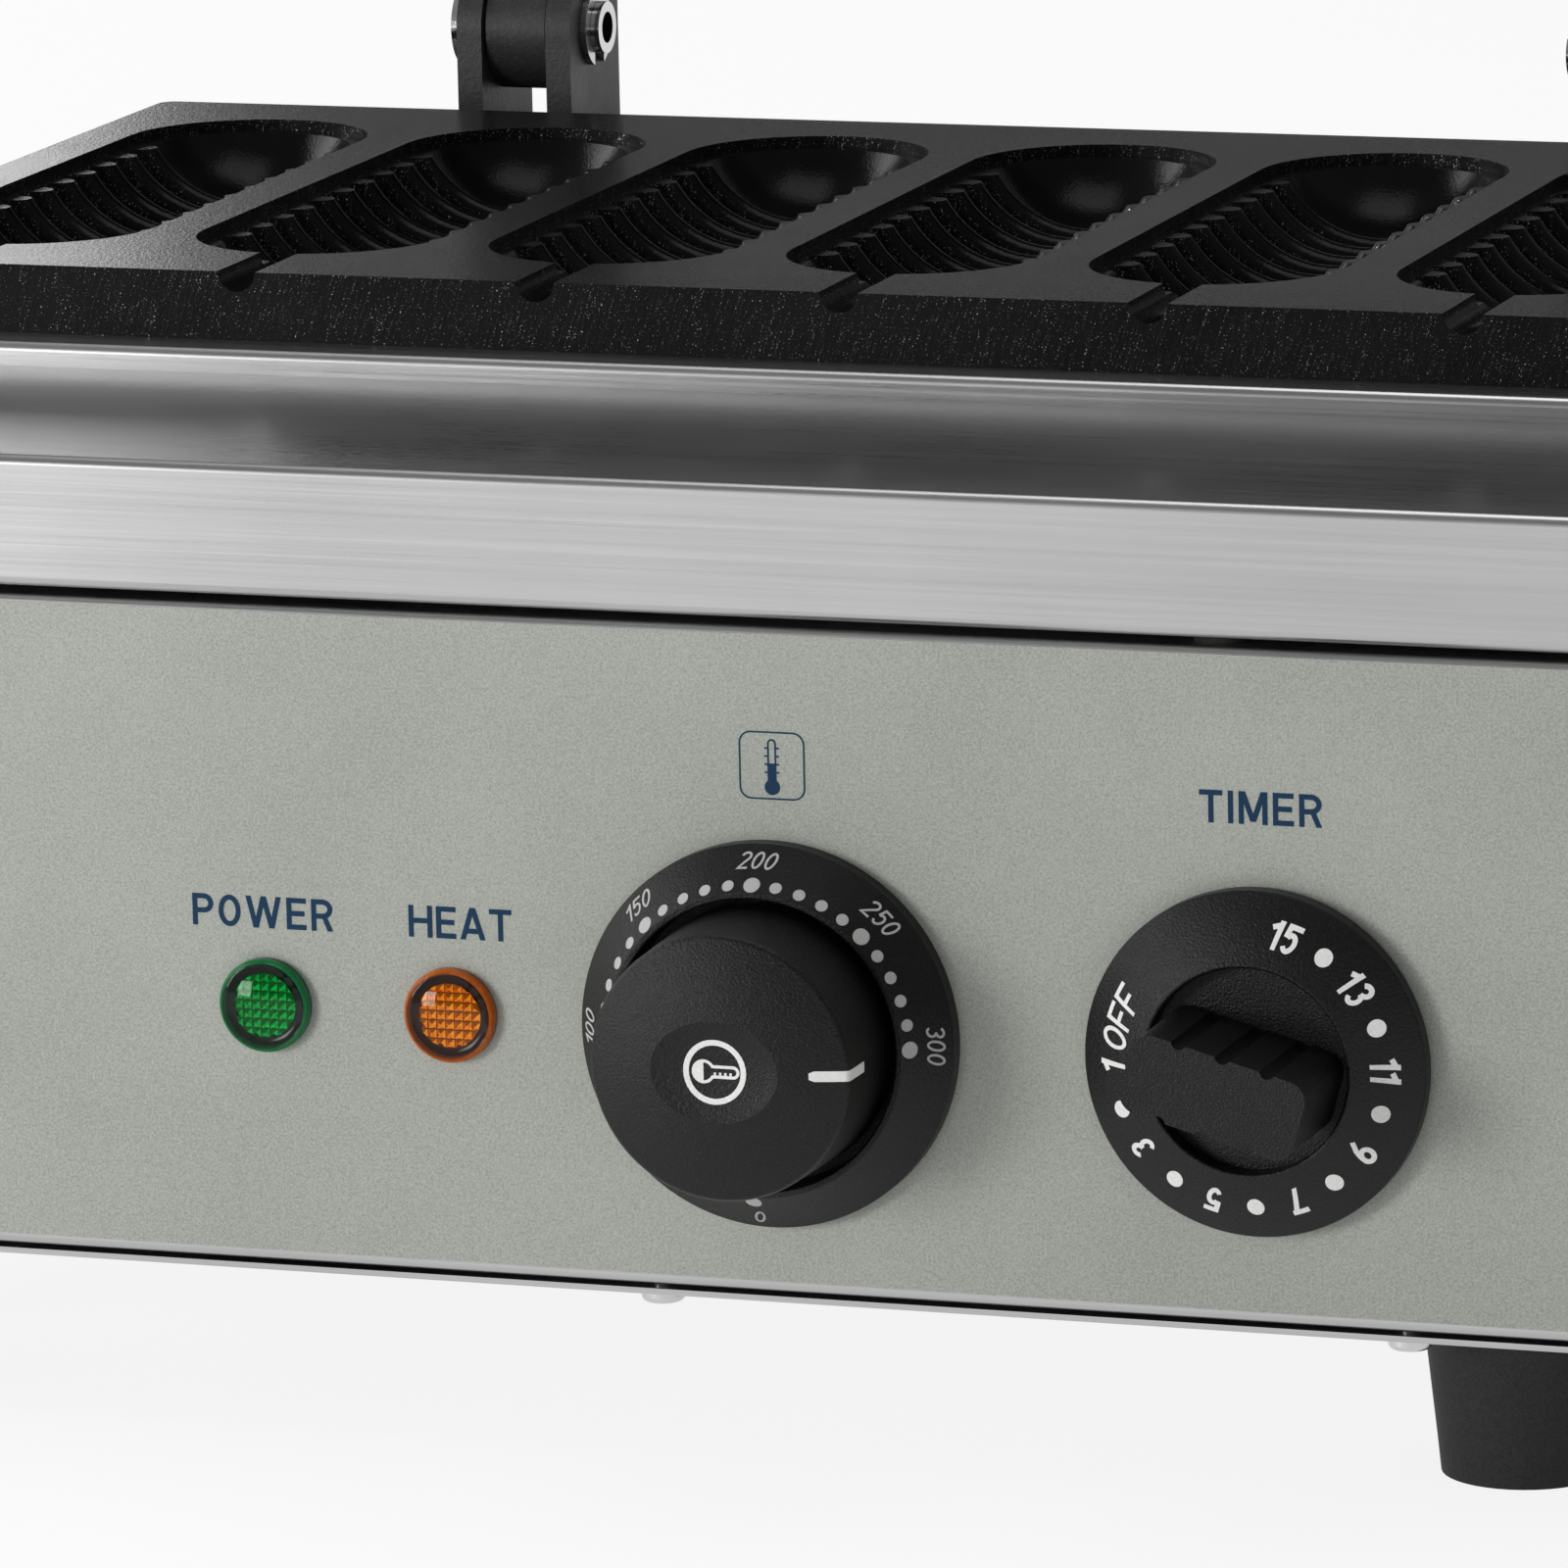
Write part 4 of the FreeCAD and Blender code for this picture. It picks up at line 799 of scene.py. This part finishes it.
def makeLamp(name, tint):
    look = pilotLamp
    radius, rim, lip, floor, well = look["radius"], look["rim"], look["lip"], look["floor"], look["well"]
    body = bmesh.new()
    rounded = arc((radius - lip, rim - lip), lip, 0, 90, 8)
    inside = [(radius - lip - 0.3, floor), (well, floor), (0, floor)]
    turnedSkin(body, [(0, look["foot"]), (radius, 0.0), *rounded, *inside], tint["x"])
    bodyPiece = addPiece(name + "Rim", body, makeLampRim(name + "Rim", tint), "base", True)
    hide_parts(tint["node"])

    grid = bmesh.new()
    cells = look["cells"]
    pitch = 2 * well / cells
    half = pitch / 2 - look["groove"]

    def inWell(x, z, height):
        pull = min(1.0, well / max(math.hypot(x, z), 1e-6))
        return grid.verts.new(Vector((tint["x"] + x * pull, panel["face"] - floor - height,
                                      panel["controlHeight"] + z * pull)) / 1000)

    for i in range(cells):
        for j in range(cells):
            x, z = (i - (cells - 1) / 2) * pitch, (j - (cells - 1) / 2) * pitch
            if math.hypot(x, z) > well * look["overlap"]:
                continue
            base = [inWell(x + sx * half, z + sz * half, look["foot"])
                    for sx, sz in ((-1, -1), (1, -1), (1, 1), (-1, 1))]
            peak = inWell(x * look["gather"], z * look["gather"], look["pyramid"])
            for k in range(4):
                grid.faces.new((base[k], base[(k + 1) % 4], peak))
    for face in grid.faces:
        face.normal_update()
        if face.normal.y > 0:
            face.normal_flip()
    addPiece(name + "Floor", grid, makeLampFloor(name + "Floor", tint), "base")

    dome = bmesh.new()
    rise = look["proud"] - look["shoulder"]
    steps = look["domeSteps"]
    slopes = [math.radians(4 + 86 * i / steps) for i in range(steps)]
    profile = [(radius * math.cos(a), look["shoulder"] + rise * math.sin(a) ** look["bulge"]) for a in slopes]
    turnedSkin(dome, profile + [(0, look["proud"])], tint["x"])
    return addPiece(name + "Dome", dome, makeLampDome(name + "Dome", tint), "base", True)


for lampName, lampTint in lampTints.items():
    makeLamp(lampName + "Lamp", lampTint)
print("lamps made")


# studio: pale floor, soft lights, white beyond the horizon and a dimmer room above it
studio = {"floor": 60.0, "floorShade": (0.80, 0.80, 0.80), "floorWhite": 0.86, "ambient": 0.38,
          "room": [(0.0, 1.0), (0.015, 0.7), (0.045, 0.14), (0.22, 0.14), (0.4, 0.22), (0.8, 0.25),
                   (1.0, 0.26)],
          "lights": {"key": ((-1.62, -2.15, 0.44), 0.8, 27.5), "window": ((-2.4, 0.1, 1.1), 1.5, 50.0),
                     "top": ((0.0, 0.2, 2.4), 1.4, 15.0), "rear": ((-1.27, 1.97, 0.55), 0.6, 2.6)},
          "aim": (0.0, -0.05, 0.16)}


def seenDirectly(root):
    # 1 for what the camera sees, also by reflection or through a clear piece
    path = root.node("LightPath", {}, {}, "Is Camera Ray")
    glossy = root.node("LightPath", {}, {}, "Is Glossy Ray")
    through = root.node("LightPath", {}, {}, "Is Transmission Ray")
    return root.math("MAXIMUM", path, root.math("MAXIMUM", glossy, through))


def makeFloor():
    mesh = bmesh.new()
    half = studio["floor"] / 2
    mesh.faces.new([mesh.verts.new((x * half, y * half, 0)) for x, y in ((-1, -1), (1, -1), (1, 1), (-1, 1))])
    flat = bpy.data.meshes.new("floor")
    mesh.to_mesh(flat)
    mesh.free()
    material, root, spot = startFinish("paperFloor")
    fibre = noise(spot, 120.0, 3.0, 0.6)
    shade = studio["floorShade"]
    paper = root.node("BsdfPrincipled", {}, {
        "Base Color": mixed(spread(fibre), tuple(v * 0.985 for v in shade), shade),
        "Roughness": 0.9})
    glow = root.node("Emission", {}, {"Color": (1, 1, 1, 1), "Strength": 1.0})
    seen = seenDirectly(root) * studio["floorWhite"]
    root.node("OutputMaterial", {}, {"Surface": root.node("MixShader", {}, {0: seen, 1: paper, 2: glow})})
    flat.materials.append(material)
    floor = bpy.data.objects.new("floor", flat)
    bpy.context.scene.collection.objects.link(floor)


def makeWorld():
    world = bpy.data.worlds.new("studio")
    world.use_nodes = True
    world.node_tree.nodes.clear()
    root = Wire(world.node_tree)
    seen = seenDirectly(root)
    lit = root.node("Background", {}, {"Color": (1, 1, 1, 1), "Strength": studio["ambient"]})
    height = root.node("SeparateXYZ", {}, {0: root.node("TexCoord", {}, {}, "Generated")}, "Z")
    stops = [(at, (level, level, level)) for at, level in studio["room"]]
    room = root.node("ValToRGB", {"stops": stops}, {0: height})
    beyond = root.node("Background", {}, {"Color": room, "Strength": 1.0})
    root.node("OutputWorld", {}, {"Surface": root.node("MixShader", {}, {0: seen, 1: lit, 2: beyond})})
    bpy.context.scene.world = world


def makeLights():
    for name, (place, size, power) in studio["lights"].items():
        light = bpy.data.lights.new(name, "AREA")
        light.size = size
        light.energy = power
        lamp = bpy.data.objects.new(name, light)
        lamp.location = place
        lamp.rotation_euler = (Vector(studio["aim"]) - Vector(place)).to_track_quat("-Z", "Y").to_euler()
        bpy.context.scene.collection.objects.link(lamp)


makeFloor()
makeWorld()
makeLights()
print("studio lit")
